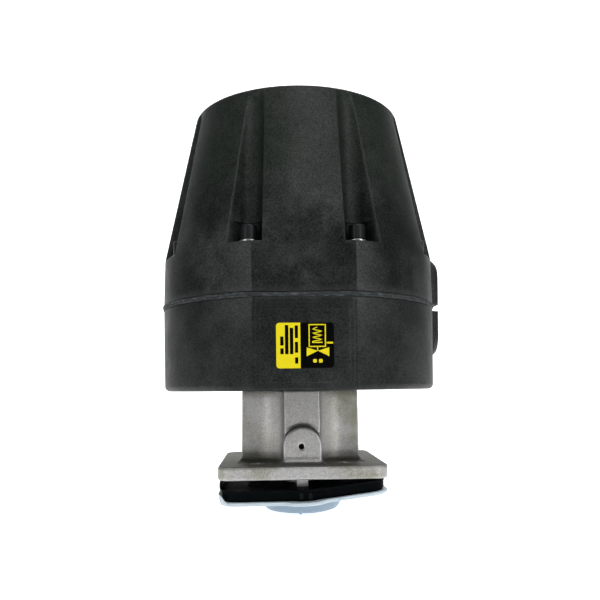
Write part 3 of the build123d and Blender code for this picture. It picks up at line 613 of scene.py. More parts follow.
def polyethylene_satin_cap():
    """Moulded polyethylene cap: satin black with soft, wide highlights."""
    tones = colours()
    mat, tree, shader, where = material("polyethylene_satin_cap")
    grain = noise(tree, where, 0.7, 3.0, 0.6)
    tree.links.new(mix(tree, spread(tree, grain, 0.0, 0.3), rgba(tones.cap), (*linear("#262a2c"), 1.0)),
                   shader.inputs["Base Color"])
    tree.links.new(spread(tree, grain, 0.32, 0.44), shader.inputs["Roughness"])
    shader.inputs["Specular IOR Level"].default_value = 0.25
    tree.links.new(bump(tree, grain, 0.015, 0.5), shader.inputs["Normal"])
    return mat


def polycarbonate_clear():
    """Clear moulded polycarbonate, with the slight haze of handling."""
    tones = colours()
    mat, tree, shader, where = material("polycarbonate_clear")
    haze = noise(tree, where, 3.0, 4.0, 0.6)
    shader.inputs["Base Color"].default_value = rgba(tones.clear)
    tree.links.new(spread(tree, haze, 0.03, 0.12), shader.inputs["Roughness"])
    shader.inputs["IOR"].default_value = 1.58
    shader.inputs["Transmission Weight"].default_value = 0.92
    return mat


def acetal_red_moulded():
    """Red moulded acetal: strong even colour with a waxy sheen."""
    tones = colours()
    mat, tree, shader, where = material("acetal_red_moulded")
    grain = noise(tree, where, 1.0, 3.0, 0.6)
    tree.links.new(mix(tree, spread(tree, grain, 0.0, 0.3), rgba(tones.red), (*linear("#8e1712"), 1.0)),
                   shader.inputs["Base Color"])
    tree.links.new(spread(tree, grain, 0.28, 0.4), shader.inputs["Roughness"])
    return mat


def paint(obj, mat):
    """Gives an object one material in all its slots."""
    obj.data.materials.clear()
    obj.data.materials.append(mat)


FINISHES = {
    "moulded": glass_filled_nylon_moulded,
    "cast": cast_stainless_blasted,
    "turned": turned_stainless,
    "zinc": zinc_plated_steel,
    "spring": epoxy_coated_spring_steel,
    "brass": machined_brass,
    "rubber": nitrile_rubber_moulded,
    "fabric": fabric_rubber_cut,
    "white": fluoropolymer_moulded,
    "cap": polyethylene_satin_cap,
    "clear": polycarbonate_clear,
    "red": acetal_red_moulded,
}
made = {}


def finish(name):
    """A finish by its short name, made once."""
    if name not in made:
        made[name] = FINISHES[name]()
    return made[name]


# ---- meshes ----

def new_object(name, mesh):
    """Links a mesh into the scene as an object at the origin."""
    obj = bpy.data.objects.new(name, mesh)
    bpy.context.scene.collection.objects.link(obj)
    return obj


def smooth(mesh, degrees=38.0):
    """Smooth shading that keeps edges sharper than the given angle."""
    mesh.shade_smooth()
    mesh.set_sharp_from_angle(angle=math.radians(degrees))


def wrapped_grid(points):
    """Vertices and faces of a grid that closes on itself both ways."""
    rows, columns, _ = points.shape
    index = np.arange(rows * columns).reshape(rows, columns)
    right = np.roll(index, -1, axis=1)
    up = np.roll(index, -1, axis=0)
    corner = np.roll(right, -1, axis=0)
    faces = np.stack([index, right, corner, up], axis=-1).reshape(-1, 4)
    return points.reshape(-1, 3), faces


def grid_mesh(name, points):
    """A closed mesh from a grid that wraps both ways."""
    vertices, faces = wrapped_grid(points)
    mesh = bpy.data.meshes.new(name)
    mesh.from_pydata(vertices.tolist(), [], faces.tolist())
    mesh.validate()
    return mesh


def smooth_min(first, second, softness):
    """The lower of two values, with the crossing rounded off."""
    blend = np.clip(0.5 + 0.5 * (second - first) / softness, 0.0, 1.0)
    return second + (first - second) * blend - softness * blend * (1.0 - blend)


def bolt_angles():
    """Angles of the cover bolts from the front, in radians."""
    count = sizes().bolt_count
    return (np.arange(count) + 0.5) * 2 * math.pi / count


def around_columns(fine_half=math.radians(9.6), fine_steps=60, coarse_steps=12):
    """Angles of the covers' columns: close together across each flute and wider between them."""
    centres = bolt_angles()
    pitch = centres[1] - centres[0]
    columns = []
    for centre in centres:
        columns.append(np.linspace(centre - fine_half, centre + fine_half, fine_steps, endpoint=False))
        columns.append(np.linspace(
            centre + fine_half, centre + pitch - fine_half, coarse_steps, endpoint=False))
    return np.concatenate(columns)


def cylinder_points(radius, angles, height):
    """Points at a radius, angle from the front and height."""
    height = np.broadcast_to(height, radius.shape)
    angles = np.broadcast_to(angles, radius.shape)
    return np.stack([radius * np.sin(angles), -radius * np.cos(angles), height], axis=-1)


# ---- mesh tools ----

def outward(mesh):
    """Turns every face of a closed mesh outwards."""
    work = bmesh.new()
    work.from_mesh(mesh)
    bmesh.ops.recalc_face_normals(work, faces=work.faces)
    work.to_mesh(mesh)
    work.free()


def mesh_from(name, vertices, faces):
    """A mesh from plain lists, with its faces turned outwards."""
    mesh = bpy.data.meshes.new(name)
    mesh.from_pydata(vertices, [], faces)
    mesh.validate()
    outward(mesh)
    return mesh


def stack_mesh(name, loops):
    """A closed mesh from equally long loops, with a fan over each end."""
    points = np.stack(loops)
    rows, columns, _ = points.shape
    index = np.arange(rows * columns).reshape(rows, columns)
    right = np.roll(index, -1, axis=1)
    faces = np.stack([index[:-1], right[:-1], right[1:], index[1:]], axis=-1).reshape(-1, 4).tolist()
    first = rows * columns
    for centre, row, beside in ((first, index[0], right[0]), (first + 1, index[-1], right[-1])):
        faces += [(centre, int(a), int(b)) for a, b in zip(row, beside)]
    vertices = points.reshape(-1, 3).tolist()
    vertices += [points[0].mean(axis=0).tolist(), points[-1].mean(axis=0).tolist()]
    return mesh_from(name, vertices, faces)


def turned_mesh(name, profile, steps=96):
    """A closed mesh turned about Z from radius and height pairs, open at neither end."""
    angles = np.linspace(0, 2 * math.pi, steps, endpoint=False)
    blank = np.ones_like(angles)
    return stack_mesh(name, [cylinder_points(blank * r, angles, h) for r, h in profile])


def ring_mesh(name, profile, steps=96):
    """A closed ring turned about Z from a closed outline of radius and height pairs."""
    angles = np.linspace(0, 2 * math.pi, steps, endpoint=False)
    blank = np.ones_like(angles)
    return mesh_closed(name, np.stack([cylinder_points(blank * r, angles, h) for r, h in profile]))


def mesh_closed(name, points):
    """A closed mesh from a grid that wraps both ways, with its faces turned outwards."""
    mesh = grid_mesh(name, points)
    outward(mesh)
    return mesh


def bake(obj):
    """Turns an object's modifiers into plain mesh."""
    graph = bpy.context.evaluated_depsgraph_get()
    mesh = bpy.data.meshes.new_from_object(obj.evaluated_get(graph))
    obj.modifiers.clear()
    obj.data = mesh


def drop(obj):
    """Removes a helper object."""
    bpy.data.objects.remove(obj, do_unlink=True)


def cut(obj, tool):
    """Cuts a tool's shape out of an object, and removes the tool."""
    modifier = obj.modifiers.new("cut", "BOOLEAN")
    modifier.operation = "DIFFERENCE"
    modifier.solver = "EXACT"
    modifier.object = tool
    bake(obj)
    drop(tool)


def peg(name, radius, start, end, steps=48):
    """A round bar between two points, as a cutting tool."""
    start = Vector(start)
    end = Vector(end)
    mesh = turned_mesh(name, [(radius, 0.0), (radius, (end - start).length)], steps)
    turn = (end - start).to_track_quat("Z", "Y").to_matrix().to_4x4()
    mesh.transform(turn)
    for vertex in mesh.vertices:
        vertex.co += start
    return new_object(name, mesh)


def piece(obj, body, look, slot, *nodes):
    """Gives a finished piece its look, its body and the nodes that it stands for; its slot argument is not
    used.
    """
    if look:
        paint(obj, finish(look))
    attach(obj, body)
    if nodes:
        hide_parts(*nodes)
    return obj


def prisms(name, outlines, front, depth):
    """Flat pieces on the front, from outlines in X and Z, one closed solid each."""
    vertices = []
    faces = []
    for outline in outlines:
        base = len(vertices)
        count = len(outline)
        vertices += [(x, front, z) for x, z in outline] + [(x, front + depth, z) for x, z in outline]
        faces.append(tuple(base + i for i in range(count)))
        faces.append(tuple(base + count + i for i in reversed(range(count))))
        for i in range(count):
            j = (i + 1) % count
            faces.append((base + i, base + count + i, base + count + j, base + j))
    return mesh_from(name, vertices, faces)


# ---- geometry node groups ----

def new_group(name, inputs):
    """A geometry node group with the given inputs and one geometry output."""
    group = bpy.data.node_groups.new(name, "GeometryNodeTree")
    for label, kind in inputs:
        group.interface.new_socket(label, in_out="INPUT", socket_type=kind)
    group.interface.new_socket("Geometry", in_out="OUTPUT", socket_type="NodeSocketGeometry")
    return group, add(group, "NodeGroupInput").outputs


def close_group(group, geometry, mat):
    """Ends a group with Realize Instances and Set Material."""
    real = add(group, "GeometryNodeRealizeInstances", {"Geometry": geometry})
    dressed = add(group, "GeometryNodeSetMaterial", {"Geometry": real.outputs["Geometry"], "Material": mat})
    add(group, "NodeGroupOutput", {"Geometry": dressed.outputs["Geometry"]})


def circle_group():
    """Copies of a piece, turned outwards, around a circle about Z."""
    group, given = new_group("copies_around", (
        ("Piece", "NodeSocketGeometry"), ("Count", "NodeSocketInt"), ("Radius", "NodeSocketFloat"),
        ("First angle", "NodeSocketFloat"), ("Material", "NodeSocketMaterial")))
    step = times(group, 2 * math.pi, given["Count"], "DIVIDE")
    along = times(group, add(group, "GeometryNodeInputIndex").outputs["Index"], step)
    turn = add(group, "ShaderNodeCombineXYZ", {"Z": times(group, along, given["First angle"], "ADD")})
    circle = add(group, "GeometryNodeMeshCircle", {"Vertices": given["Count"], "Radius": given["Radius"]})
    first = add(group, "ShaderNodeCombineXYZ", {"Z": given["First angle"]})
    placed = add(group, "GeometryNodeTransform", {
        "Geometry": circle.outputs["Mesh"], "Rotation": first.outputs["Vector"]})
    copies = add(group, "GeometryNodeInstanceOnPoints", {
        "Points": placed.outputs["Geometry"], "Instance": given["Piece"], "Rotation": turn.outputs["Vector"]})
    close_group(group, copies.outputs["Instances"], given["Material"])
    return group


def coil_group():
    """A round wire wound about Z."""
    group, given = new_group("wound_wire", (
        ("Piece", "NodeSocketGeometry"), ("Radius", "NodeSocketFloat"), ("Height", "NodeSocketFloat"),
        ("Turns", "NodeSocketFloat"), ("Wire radius", "NodeSocketFloat"), ("Material", "NodeSocketMaterial")))
    path = add(group, "GeometryNodeCurveSpiral", {
        "Resolution": 40, "Rotations": given["Turns"], "Start Radius": given["Radius"],
        "End Radius": given["Radius"], "Height": given["Height"]})
    section = add(group, "GeometryNodeCurvePrimitiveCircle", {
        "Resolution": 12, "Radius": given["Wire radius"]})
    wire = add(group, "GeometryNodeCurveToMesh", {
        "Curve": path.outputs["Curve"], "Profile Curve": section.outputs["Curve"], "Fill Caps": True})
    close_group(group, wire.outputs["Mesh"], given["Material"])
    return group


def run_group(obj, group, values):
    """Runs a node group on an object with inputs set by name, and leaves plain mesh."""
    modifier = obj.modifiers.new("nodes", "NODES")
    modifier.node_group = group
    for socket in group.interface.items_tree:
        if socket.in_out == "INPUT" and socket.name in values:
            modifier[socket.identifier] = values[socket.name]
    bake(obj)
    smooth(obj.data)


def copies_around(name, mesh, count, radius, first, look):
    """One object with copies of a mesh around a circle."""
    obj = new_object(name, mesh)
    run_group(obj, circle_group(), {
        "Count": count, "Radius": radius, "First angle": first, "Material": finish(look)})
    return obj


def wound_wire(name, radius, height, turns, wire, look):
    """One object with a wire wound upwards from the origin."""
    obj = new_object(name, bpy.data.meshes.new(name))
    run_group(obj, coil_group(), {
        "Radius": radius, "Height": height, "Turns": turns, "Wire radius": wire, "Material": finish(look)})
    return obj


# ---- covers ----

def flute_wall(offset, height):
    """Distance from the axis to a flute's surface, at an angle from its middle."""
    s = sizes()
    axis_radius = s.bolt_circle - (height - LEDGE) * math.tan(s.flute_lean)
    side = s.flute_radius * math.cos(s.flute_flare)
    back = s.flute_radius * math.sin(s.flute_flare)
    slope = math.tan(s.flute_flare)
    sine = np.abs(np.sin(offset))
    cosine = np.cos(offset)
    open_to = cosine * slope - sine
    wall = (axis_radius * slope - side - back * slope) / np.maximum(open_to, 1e-4)
    wall = np.where(open_to > 1e-4, wall, FAR)
    inside = s.flute_radius ** 2 - (axis_radius * sine) ** 2
    arc = np.where(inside > 0, axis_radius * cosine - np.sqrt(np.maximum(inside, 0)), 0.0)
    run_out = max(height - (COVER_TOP - s.flute_end), 0.0)
    return np.maximum(arc, wall) + RUN_OUT_RATE * run_out ** 2 / MM


def pocket_wall(offset, wall):
    """Distance from the axis to the pocket around a bolt, where it opens into the flute."""
    s = sizes()
    sine = np.abs(np.sin(offset))
    inside = s.pocket_radius ** 2 - (s.bolt_circle * sine) ** 2
    reach = np.sqrt(np.maximum(inside, 0))
    middle = s.bolt_circle * np.cos(offset)
    opens = (inside > 0) & (middle + reach > wall)
    return np.where(opens, np.minimum(middle - reach, wall), wall)


def nearest_bolt(angles):
    """Angle from each column to its nearest bolt."""
    offsets = (angles[:, None] - bolt_angles()[None, :] + math.pi) % (2 * math.pi) - math.pi
    nearest = np.argmin(np.abs(offsets), axis=1)
    return offsets[np.arange(len(angles)), nearest]


def front_flat(angles, height):
    """Distance from the axis to the front flat, or far away off the front."""
    turn = (angles + math.pi) % (2 * math.pi) - math.pi
    lean = max(height - SEAM_HIGH, 0.0) * math.tan(sizes().flat_draft)
    distance = sizes().front_flat - lean
    return np.where(np.abs(turn) < 1.1, distance / np.maximum(np.cos(turn), 0.3), FAR)


def cover_radius(height):
    """Radius of the plain round covers at a height."""
    s = sizes()
    band = min(max(height - SEAM_HIGH, 0.0), s.band_height)
    above = max(height - SEAM_HIGH - s.band_height, 0.0)
    radius = BODY_RADIUS - band * math.tan(s.band_draft) - above * math.tan(s.cone_draft)
    for gap, edge in ((COVER_TOP - height, s.top_edge), (height - NECK_TOP, s.bottom_edge)):
        if gap < edge:
            radius -= edge - math.sqrt(max(edge ** 2 - (edge - gap) ** 2, 0.0))
    return radius


def cover_body(angles, height):
    """The covers' round wall and front flat at a height."""
    round_wall = np.full_like(angles, cover_radius(height))
    return smooth_min(round_wall, front_flat(angles, height), sizes().crease_soft)


def top_cover_rows(angles):
    """The top cover's outer wall, row by row from the seam to the top plane."""
    s = sizes()
    offset = nearest_bolt(angles)
    rows = []

    def row(height, radius):
        rows.append(cylinder_points(radius, angles, height))

    for inset, rise in ((SEAM_EDGE, 0.0), (SEAM_EDGE * 0.3, SEAM_EDGE * 0.3), (0.0, SEAM_EDGE)):
        row(SEAM_HIGH + rise, cover_body(angles, SEAM_HIGH) - inset)
    for height in np.linspace(SEAM_HIGH + 0.004, LEDGE - 0.0009, 8):
        row(height, cover_body(angles, height))
    for below, inset in ((0.0006, 0.00006), (0.0003, 0.00022), (0.0001, 0.00055), (0.0, 0.0012)):
        edge = cover_body(angles, LEDGE - below)
        wall = smooth_min(edge, pocket_wall(offset, flute_wall(offset, LEDGE)), s.edge_soft)
        row(LEDGE - below, np.maximum(wall, edge - inset))
    pocket_top = LEDGE + s.pocket_height
    for height in np.linspace(LEDGE + 0.00005, pocket_top, 8):
        wall = pocket_wall(offset, flute_wall(offset, height))
        row(height, smooth_min(cover_body(angles, height), wall, s.edge_soft))
    heights = list(np.linspace(pocket_top + 0.0001, COVER_TOP - s.top_edge, 44))
    heights += [COVER_TOP - s.top_edge * (1 - math.sin(t)) for t in np.linspace(0.25, math.pi / 2, 7)]
    for height in heights:
        row(height, smooth_min(cover_body(angles, height), flute_wall(offset, height), s.edge_soft))
    return rows


def build_top_cover():
    """One closed mesh: fluted outer wall, top plane, cap recess and plain inside."""
    s = sizes()
    angles = around_columns()
    rows = top_cover_rows(angles)
    rim = np.linalg.norm(rows[-1][:, :2], axis=1)
    collar = s.recess_radius + 0.0065
    for part in (0.97, 0.85, 0.6, 0.3, 0.0):
        rows.append(cylinder_points(collar + (rim - collar) * part, angles, COVER_TOP))
    floor = COVER_TOP - s.recess_depth
    ceiling = COVER_TOP - s.wall
    boss_bottom = ceiling - BOSS_DEPTH
    edge = 0.0005
    profile = [
        (collar - 0.0001, COVER_TOP - edge), (s.recess_radius + 0.0042, COVER_TOP - edge),
        (s.recess_radius + 0.0041, COVER_TOP - 0.00002),
        (s.recess_radius + edge, COVER_TOP - 0.00002), (s.recess_radius, COVER_TOP - edge),
        (s.recess_radius, floor), (ROD_HOLE, floor), (ROD_HOLE, boss_bottom), (BOSS_RADIUS, boss_bottom),
        (BOSS_RADIUS, ceiling), (CEILING_RADIUS, ceiling), (TOP_INSIDE, SEAM_HIGH + 0.040),
        (TOP_INSIDE, SEAM_HIGH)]
    blank = np.ones_like(angles)
    rows += [cylinder_points(blank * radius, angles, height) for radius, height in profile]
    mesh = mesh_closed("top_cover_shell", np.stack(rows))
    cover = new_object("top_cover_shell", mesh)
    cut(cover, port_tool(PORT_HIGH))
    smooth(cover.data, 50.0)
    return cover


def port_tool(height):
    """Stepped round tool along X for a port's seat and its narrow duct."""
    mesh = turned_mesh("port_tool", [
        (DUCT_RADIUS, DUCT_END), (DUCT_RADIUS, PORT_SEAT), (PORT_RADIUS, PORT_SEAT),
        (PORT_RADIUS, PAD_FACE + 0.005)], 64)
    turn = Vector((0, 0, 1)).rotation_difference(Vector((1, 0, 0))).to_matrix().to_4x4()
    mesh.transform(turn)
    for vertex in mesh.vertices:
        vertex.co.z += height
    return new_object("port_tool", mesh)


def raised(value, soft):
    """Smooth step from 0 to 1 as a signed distance passes through zero."""
    t = np.clip(value / soft + 0.5, 0.0, 1.0)
    return t * t * (3 - 2 * t)


def inside_box(across, up, half, bottom, top, corner):
    """Signed depth inside a panel whose lower corners are rounded."""
    dx = np.abs(across) - (half - corner)
    dz = (bottom + corner) - up
    outside = np.hypot(np.maximum(dx, 0), np.maximum(dz, 0)) + np.minimum(np.maximum(dx, dz), 0)
    return np.minimum(corner - outside, top - up)


def bottom_cover_row(angles, height):
    """The bottom cover's outer wall at a height, with the front panel and the label's panel on it."""
    s = sizes()
    turn = (angles + math.pi) % (2 * math.pi) - math.pi
    ahead = np.abs(turn) < 0.6
    across = s.front_flat * np.tan(np.where(ahead, turn, 0.0))
    across = np.where(ahead, across, FAR)
    body = cover_body(angles, height)
    flat = s.front_flat / np.maximum(np.cos(turn), 0.3)
    depth = inside_box(across, height, s.panel_half, NECK_TOP + s.panel_lift, SEAM_LOW + 0.01, s.panel_corner)
    wall = body + np.maximum(flat + s.panel_proud - body, 0.0) * raised(depth, 0.0005)
    top = SEAM_LOW - s.plate_top_inset
    depth = inside_box(across, height, s.plate_half, top - s.plate_height, top, 0.001)
    return wall + s.plate_proud * raised(depth, 0.00035)


def build_bottom_cover():
    """One closed mesh: outer wall with its front panel, underside and plain inside."""
    s = sizes()
    angles = around_columns()
    heights = [NECK_TOP + s.bottom_edge * (1 - math.cos(t)) for t in np.linspace(0, math.pi / 2, 12)]
    edges = (SEAM_LOW - s.plate_top_inset, SEAM_LOW - s.plate_top_inset - s.plate_height)
    for level in edges:
        heights += [level + k * 0.00012 for k in range(-4, 5)]
    heights += list(NECK_TOP + s.bottom_edge + np.arange(1, 13) * 0.0004)
    heights += list(np.linspace(NECK_TOP + 0.009, SEAM_LOW - 0.0012, 18))
    heights = sorted(heights)
    rows = [cylinder_points(bottom_cover_row(angles, z), angles, z) for z in heights]
    wall = bottom_cover_row(angles, SEAM_LOW - 0.001)
    for inset, below in ((0.0, SEAM_EDGE), (SEAM_EDGE * 0.3, SEAM_EDGE * 0.3), (SEAM_EDGE, 0.0)):
        rows.append(cylinder_points(wall - inset, angles, SEAM_LOW - below))
    floor = NECK_TOP + BOTTOM_FLOOR
    groove = NECK_TOP + GROOVE_DEPTH
    profile = [
        (BOTTOM_INSIDE, SEAM_LOW), (BOTTOM_INSIDE, floor), (BUSHING_HOLE, floor), (BUSHING_HOLE, NECK_TOP),
        (0.052, NECK_TOP), (0.0522, groove), (0.0548, groove), (0.055, NECK_TOP)]
    blank = np.ones_like(angles)
    rows += [cylinder_points(blank * radius, angles, height) for radius, height in profile]
    mesh = mesh_closed("bottom_cover_shell", np.stack(rows))
    cover = new_object("bottom_cover_shell", mesh)
    cut(cover, port_tool(PORT_LOW))
    smooth(cover.data, 40.0)
    return cover


def pad_reach(directions, port, flat, arch_centre, half):
    """Distance from a port's axis to its pad's outline in each direction."""
    across = np.cos(directions)
    up = np.sin(directions)
    side = half / np.maximum(np.abs(across), 1e-6)
    toward_flat = (flat - port) * up > 0
    end = np.where(toward_flat, (flat - port) / np.where(up == 0, 1e-6, up), FAR)
    offset = arch_centre - port
    along = up * offset
    arch = along + np.sqrt(np.maximum(along ** 2 - offset ** 2 + half ** 2, 0.0))
    square = np.minimum(side, end)
    past = (port + square * up - arch_centre) * np.sign(arch_centre - flat) > 0
    return np.where(past, arch, square)


def build_pad(name, port, bottom, top, arch_up):
    """Port pad: flat face, sloped edge, and the port's round seat."""
    s = sizes()
    directions = np.linspace(0, 2 * math.pi, 144, endpoint=False)
    flat = bottom if arch_up else top

    def loop(inset, x):
        half = s.pad_half - inset
        arch_centre = top - s.pad_half if arch_up else bottom + s.pad_half
        reach = pad_reach(directions, port, flat, arch_centre, half)
        return np.stack([
            np.full_like(directions, x), reach * np.cos(directions), port + reach * np.sin(directions)], -1)

    def circle(radius, x):
        return np.stack([
            np.full_like(directions, x), radius * np.cos(directions), port + radius * np.sin(directions)], -1)

    slope = s.pad_slope
    rows = [loop(0.0, PAD_BACK), loop(0.0, PAD_FACE - slope - 0.0004), loop(0.00015, PAD_FACE - slope),
            loop(slope - 0.0003, PAD_FACE - 0.0003), loop(slope + 0.0001, PAD_FACE),
            circle(PORT_RADIUS + 0.0004, PAD_FACE), circle(PORT_RADIUS, PAD_FACE - 0.0004),
            circle(PORT_RADIUS, PAD_BACK)]
    mesh = mesh_closed(name, np.stack(rows))
    smooth(mesh, 30.0)
    return new_object(name, mesh)


def build_threads(name, port):
    """Thread ridges inside a port's insert."""
    length = PAD_FACE - PORT_SEAT
    obj = wound_wire(
        name, THREAD_RADIUS, length - 0.001, (length - 0.001) / THREAD_PITCH, THREAD_RIDGE, "brass")
    turn = Vector((0, 0, 1)).rotation_difference(Vector((1, 0, 0))).to_matrix().to_4x4()
    obj.data.transform(turn)
    for vertex in obj.data.vertices:
        vertex.co += Vector((PORT_SEAT + 0.0005, 0, port))
    return obj


# ---- bonnet ----

def build_bonnet():
    """The casting: the CAD shape with its edges melted soft, and a crisp drilled weep hole."""
    s = sizes()
    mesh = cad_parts["bonnet"].data.copy()
    mesh.name = "bonnet_casting"
    bonnet = new_object("bonnet_casting", mesh)
    join(bonnet, new_object("pad_foot", pad_foot()))
    work = bmesh.new()
    work.from_mesh(mesh)
    bmesh.ops.remove_doubles(work, verts=work.verts, dist=0.00001)
    work.to_mesh(mesh)
    work.free()
    remesh = bonnet.modifiers.new("remesh", "REMESH")
    remesh.mode = "VOXEL"
    remesh.voxel_size = s.casting_grain
    soften = bonnet.modifiers.new("soften", "SMOOTH")
    soften.factor = 0.5
    soften.iterations = 2
    thin = bonnet.modifiers.new("thin", "DECIMATE")
    thin.ratio = 0.42
    bake(bonnet)
    draft_neck(bonnet.data)
    slot_top = low("compressor").z + FIN_HEIGHT + STROKE + FIN_GAP
    half = FIN_HALF + FIN_GAP
    for half_x, half_y in ((SLOT_REACH, half), (half, SLOT_REACH)):
        corners = ((-half_x, -half_y), (half_x, -half_y), (half_x, half_y), (-half_x, half_y))
        loops = [np.array([(x, y, z) for x, y in corners]) for z in (-TOOL_CLEAR, slot_top)]
        cut(bonnet, new_object("slot_tool", stack_mesh("slot_tool", loops)))
    chamber_top = (0.0, 0.0, high("compressor").z + CHAMBER_HEADROOM)
    cut(bonnet, peg("chamber_tool", CHAMBER_RADIUS, (0.0, 0.0, -TOOL_CLEAR), chamber_top))
    mouth = (s.weep_offset, low("bonnet").y - TOOL_CLEAR, s.weep_height)
    cut(bonnet, peg("weep_tool", s.weep_radius, mouth, (s.weep_offset, -WEEP_DEPTH, s.weep_height)))
    smooth(bonnet.data, 50.0)
    return bonnet


def draft_neck(mesh):
    """Leans the neck's walls inwards towards its top, as a casting's draft does."""
    s = sizes()
    for vertex in mesh.vertices:
        share_up = min(max((vertex.co.z - DRAFT_START) / (NECK_TOP - DRAFT_START), 0.0), 1.0)
        outside = math.hypot(vertex.co.x, vertex.co.y) - DRAFT_RADIUS
        outer = min(max(outside / DRAFT_BLEND, 0.0), 1.0)
        vertex.co.x *= 1 - s.neck_draft * share_up * outer
        vertex.co.y *= 1 - s.neck_draft * share_up * outer


def pad_foot():
    """Flared root that runs the weep pad out onto the flange."""
    s = sizes()
    loops = []
    for height in np.linspace(0.0, s.foot_height, 10):
        flare = s.foot_flare * (1 - math.sqrt(max(1 - (1 - height / s.foot_height) ** 2, 0.0)))
        half = WEEP_PAD_HALF + flare
        front = -WEEP_PAD_FRONT - flare
        corners = ((-half, front), (half, front), (half, -WEEP_PAD_ROOT), (-half, -WEEP_PAD_ROOT))
        loops.append(np.array([(x, y, FLANGE_TOP + height) for x, y in corners]))
    loops.insert(0, loops[0] - np.array([0, 0, 0.001]))
    return stack_mesh("pad_foot", loops)


# ---- hanging diaphragm ----

def rounded_square(width, corner, steps=44, arc=14, tab=None):
    """Outline of a square with round corners, starting at the middle of its right side."""
    half = width / 2
    straight = half - corner
    points = []
    for quarter in range(4):
        turn = quarter * math.pi / 2
        edge = [(half, y) for y in np.linspace(-straight, straight, steps, endpoint=False)]
        bend = [(straight + corner * math.cos(t), straight + corner * math.sin(t))
                for t in np.linspace(0, math.pi / 2, arc, endpoint=False)]
        for x, y in edge + bend:
            points.append((x * math.cos(turn) - y * math.sin(turn), x * math.sin(turn) + y * math.cos(turn)))
    points = np.array(points)
    if tab:
        centre, half_width, proud, soft = tab
        near = raised(half_width - np.abs(points[:, 0] - centre), soft)
        points[:, 1] -= proud * near * (points[:, 1] < -straight)
    return points


def lift(x):
    """How far the hanging diaphragm has bent up towards the flange."""
    s = sizes()
    rise = max(s.droop - FLANGE_GAP, 0.0)
    climb = rise / (BACKING_HALF - s.bend_start)
    u = x - s.bend_start
    easing = (u + BEND_EASE) ** 2 / (4 * BEND_EASE)
    curve = np.where(u < -BEND_EASE, 0.0, np.where(u > BEND_EASE, u, easing))
    return climb * curve


def slab_loop(outline, scale, height, wobble=0.0, seed=0):
    """The outline, scaled about the middle, at a height above the bent sheet."""
    flat = outline * scale
    rough = np.random.default_rng(seed).normal(0, 1, len(flat)) * wobble
    return np.stack([flat[:, 0], flat[:, 1], height + lift(flat[:, 0]) + rough], -1)


def belly(radius, shrink):
    """Depth of the diaphragm's belly below the sheet, at a distance from the middle."""
    s = sizes()
    rim = s.belly_radius - shrink
    floor_radius = s.belly_floor - shrink
    t = np.clip((rim - radius) / (rim - floor_radius), 0, 1)
    side = (s.belly_depth - s.belly_rise) * (t * t * (3 - 2 * t))
    dish = s.belly_rise * (1 - np.clip(radius / floor_radius, 0, 1) ** 2)
    return side + np.where(radius < floor_radius, dish, 0.0)


def belly_rows(outline, level, shrink, inward):
    """Rows across a belly, from its rim to its middle or back."""
    s = sizes()
    direction = np.arctan2(outline[:, 1], outline[:, 0])
    rim = s.belly_radius - shrink
    rows = []
    for radius in list(np.linspace(rim + 0.001, 0.0004, 34)):
        x = radius * np.cos(direction) + s.belly_shift
        y = radius * np.sin(direction)
        fade = 1.0 - raised(np.full_like(x, rim * 0.82 - radius), rim * 0.5)
        z = level + lift(x) * fade - belly(np.full_like(x, radius), shrink)
        rows.append(np.stack([x, y, z], -1))
    return rows if inward else rows[::-1]


def bolt_holes(obj, radius):
    """Cuts the four flange bolt holes through a sheet."""
    for sx in (-1, 1):
        for sy in (-1, 1):
            x = sx * HOLE_ACROSS
            y = sy * HOLE_ALONG
            cut(obj, peg("hole_tool", radius, (x, y, -0.04), (x, y, 0.01), 40))


def build_backing():
    """Rubber backing: bent pad with a ragged moulding flash, ribbed tab and a lip on its left edge."""
    s = sizes()
    width = s.backing_width
    outline = rounded_square(width, 0.0075, tab=(0.0015, 0.0053, 0.0010, 0.0006))
    top = -s.droop
    bottom = top - s.backing_thickness
    rows = [slab_loop(outline, part, top) for part in (0.02, 0.3, 0.6, 0.9, 0.975)]
    rows += [slab_loop(outline, 0.988, top + 0.0001, 0.00010, 3),
             slab_loop(outline, 1.0, top - 0.0002, 0.00012, 4),
             slab_loop(outline, 1.004, top - 0.0006, 0.00010, 5), slab_loop(outline, 0.998, top - 0.0011),
             slab_loop(outline, 0.999, (top + bottom) / 2), slab_loop(outline, 0.998, bottom + 0.0017),
             slab_loop(outline, 0.993, bottom + 0.0008), slab_loop(outline, 0.984, bottom + 0.0002)]
    rows += [slab_loop(outline, part, bottom) for part in (0.972, 0.9, 0.5, 0.02)]
    backing = new_object("diaphragm_backing", stack_mesh("diaphragm_backing", rows))
    bolt_holes(backing, s.diaphragm_hole)
    ribs = [rounded_box(x - 0.0009, bottom + 0.0015, x + 0.0009, top - 0.0013, 0.0004)
            for x in s.tab_ribs]
    join(backing, build_lip(-width / 2, top), new_object("tab_ribs", prisms(
        "tab_ribs", ribs, -width / 2 - 0.0015, 0.0012)))
    smooth(backing.data, 40.0)
    return backing


def build_lip(side, top):
    """Soft lip that stands along the backing's left edge."""
    rng = np.random.default_rng(11)
    loops = []
    for y in np.linspace(-LIP_HALF_LENGTH, LIP_HALF_LENGTH, 60):
        swell = math.sqrt(max(1 - (abs(y) / 0.0372) ** 6, 0.05))
        tilt = rng.normal(0, 0.00008)
        section = []
        for t in np.linspace(0, 2 * math.pi, 20, endpoint=False):
            across = LIP_HALF_WIDTH * np.sign(math.cos(t)) * abs(math.cos(t)) ** 0.6
            rise = LIP_HALF_HEIGHT * np.sign(math.sin(t)) * abs(math.sin(t)) ** 0.7
            section.append((side - 0.0007 + across * swell + tilt, y, top + 0.0015 + rise * swell + tilt))
        loops.append(np.array(section))
    return new_object("diaphragm_lip", stack_mesh("diaphragm_lip", loops))


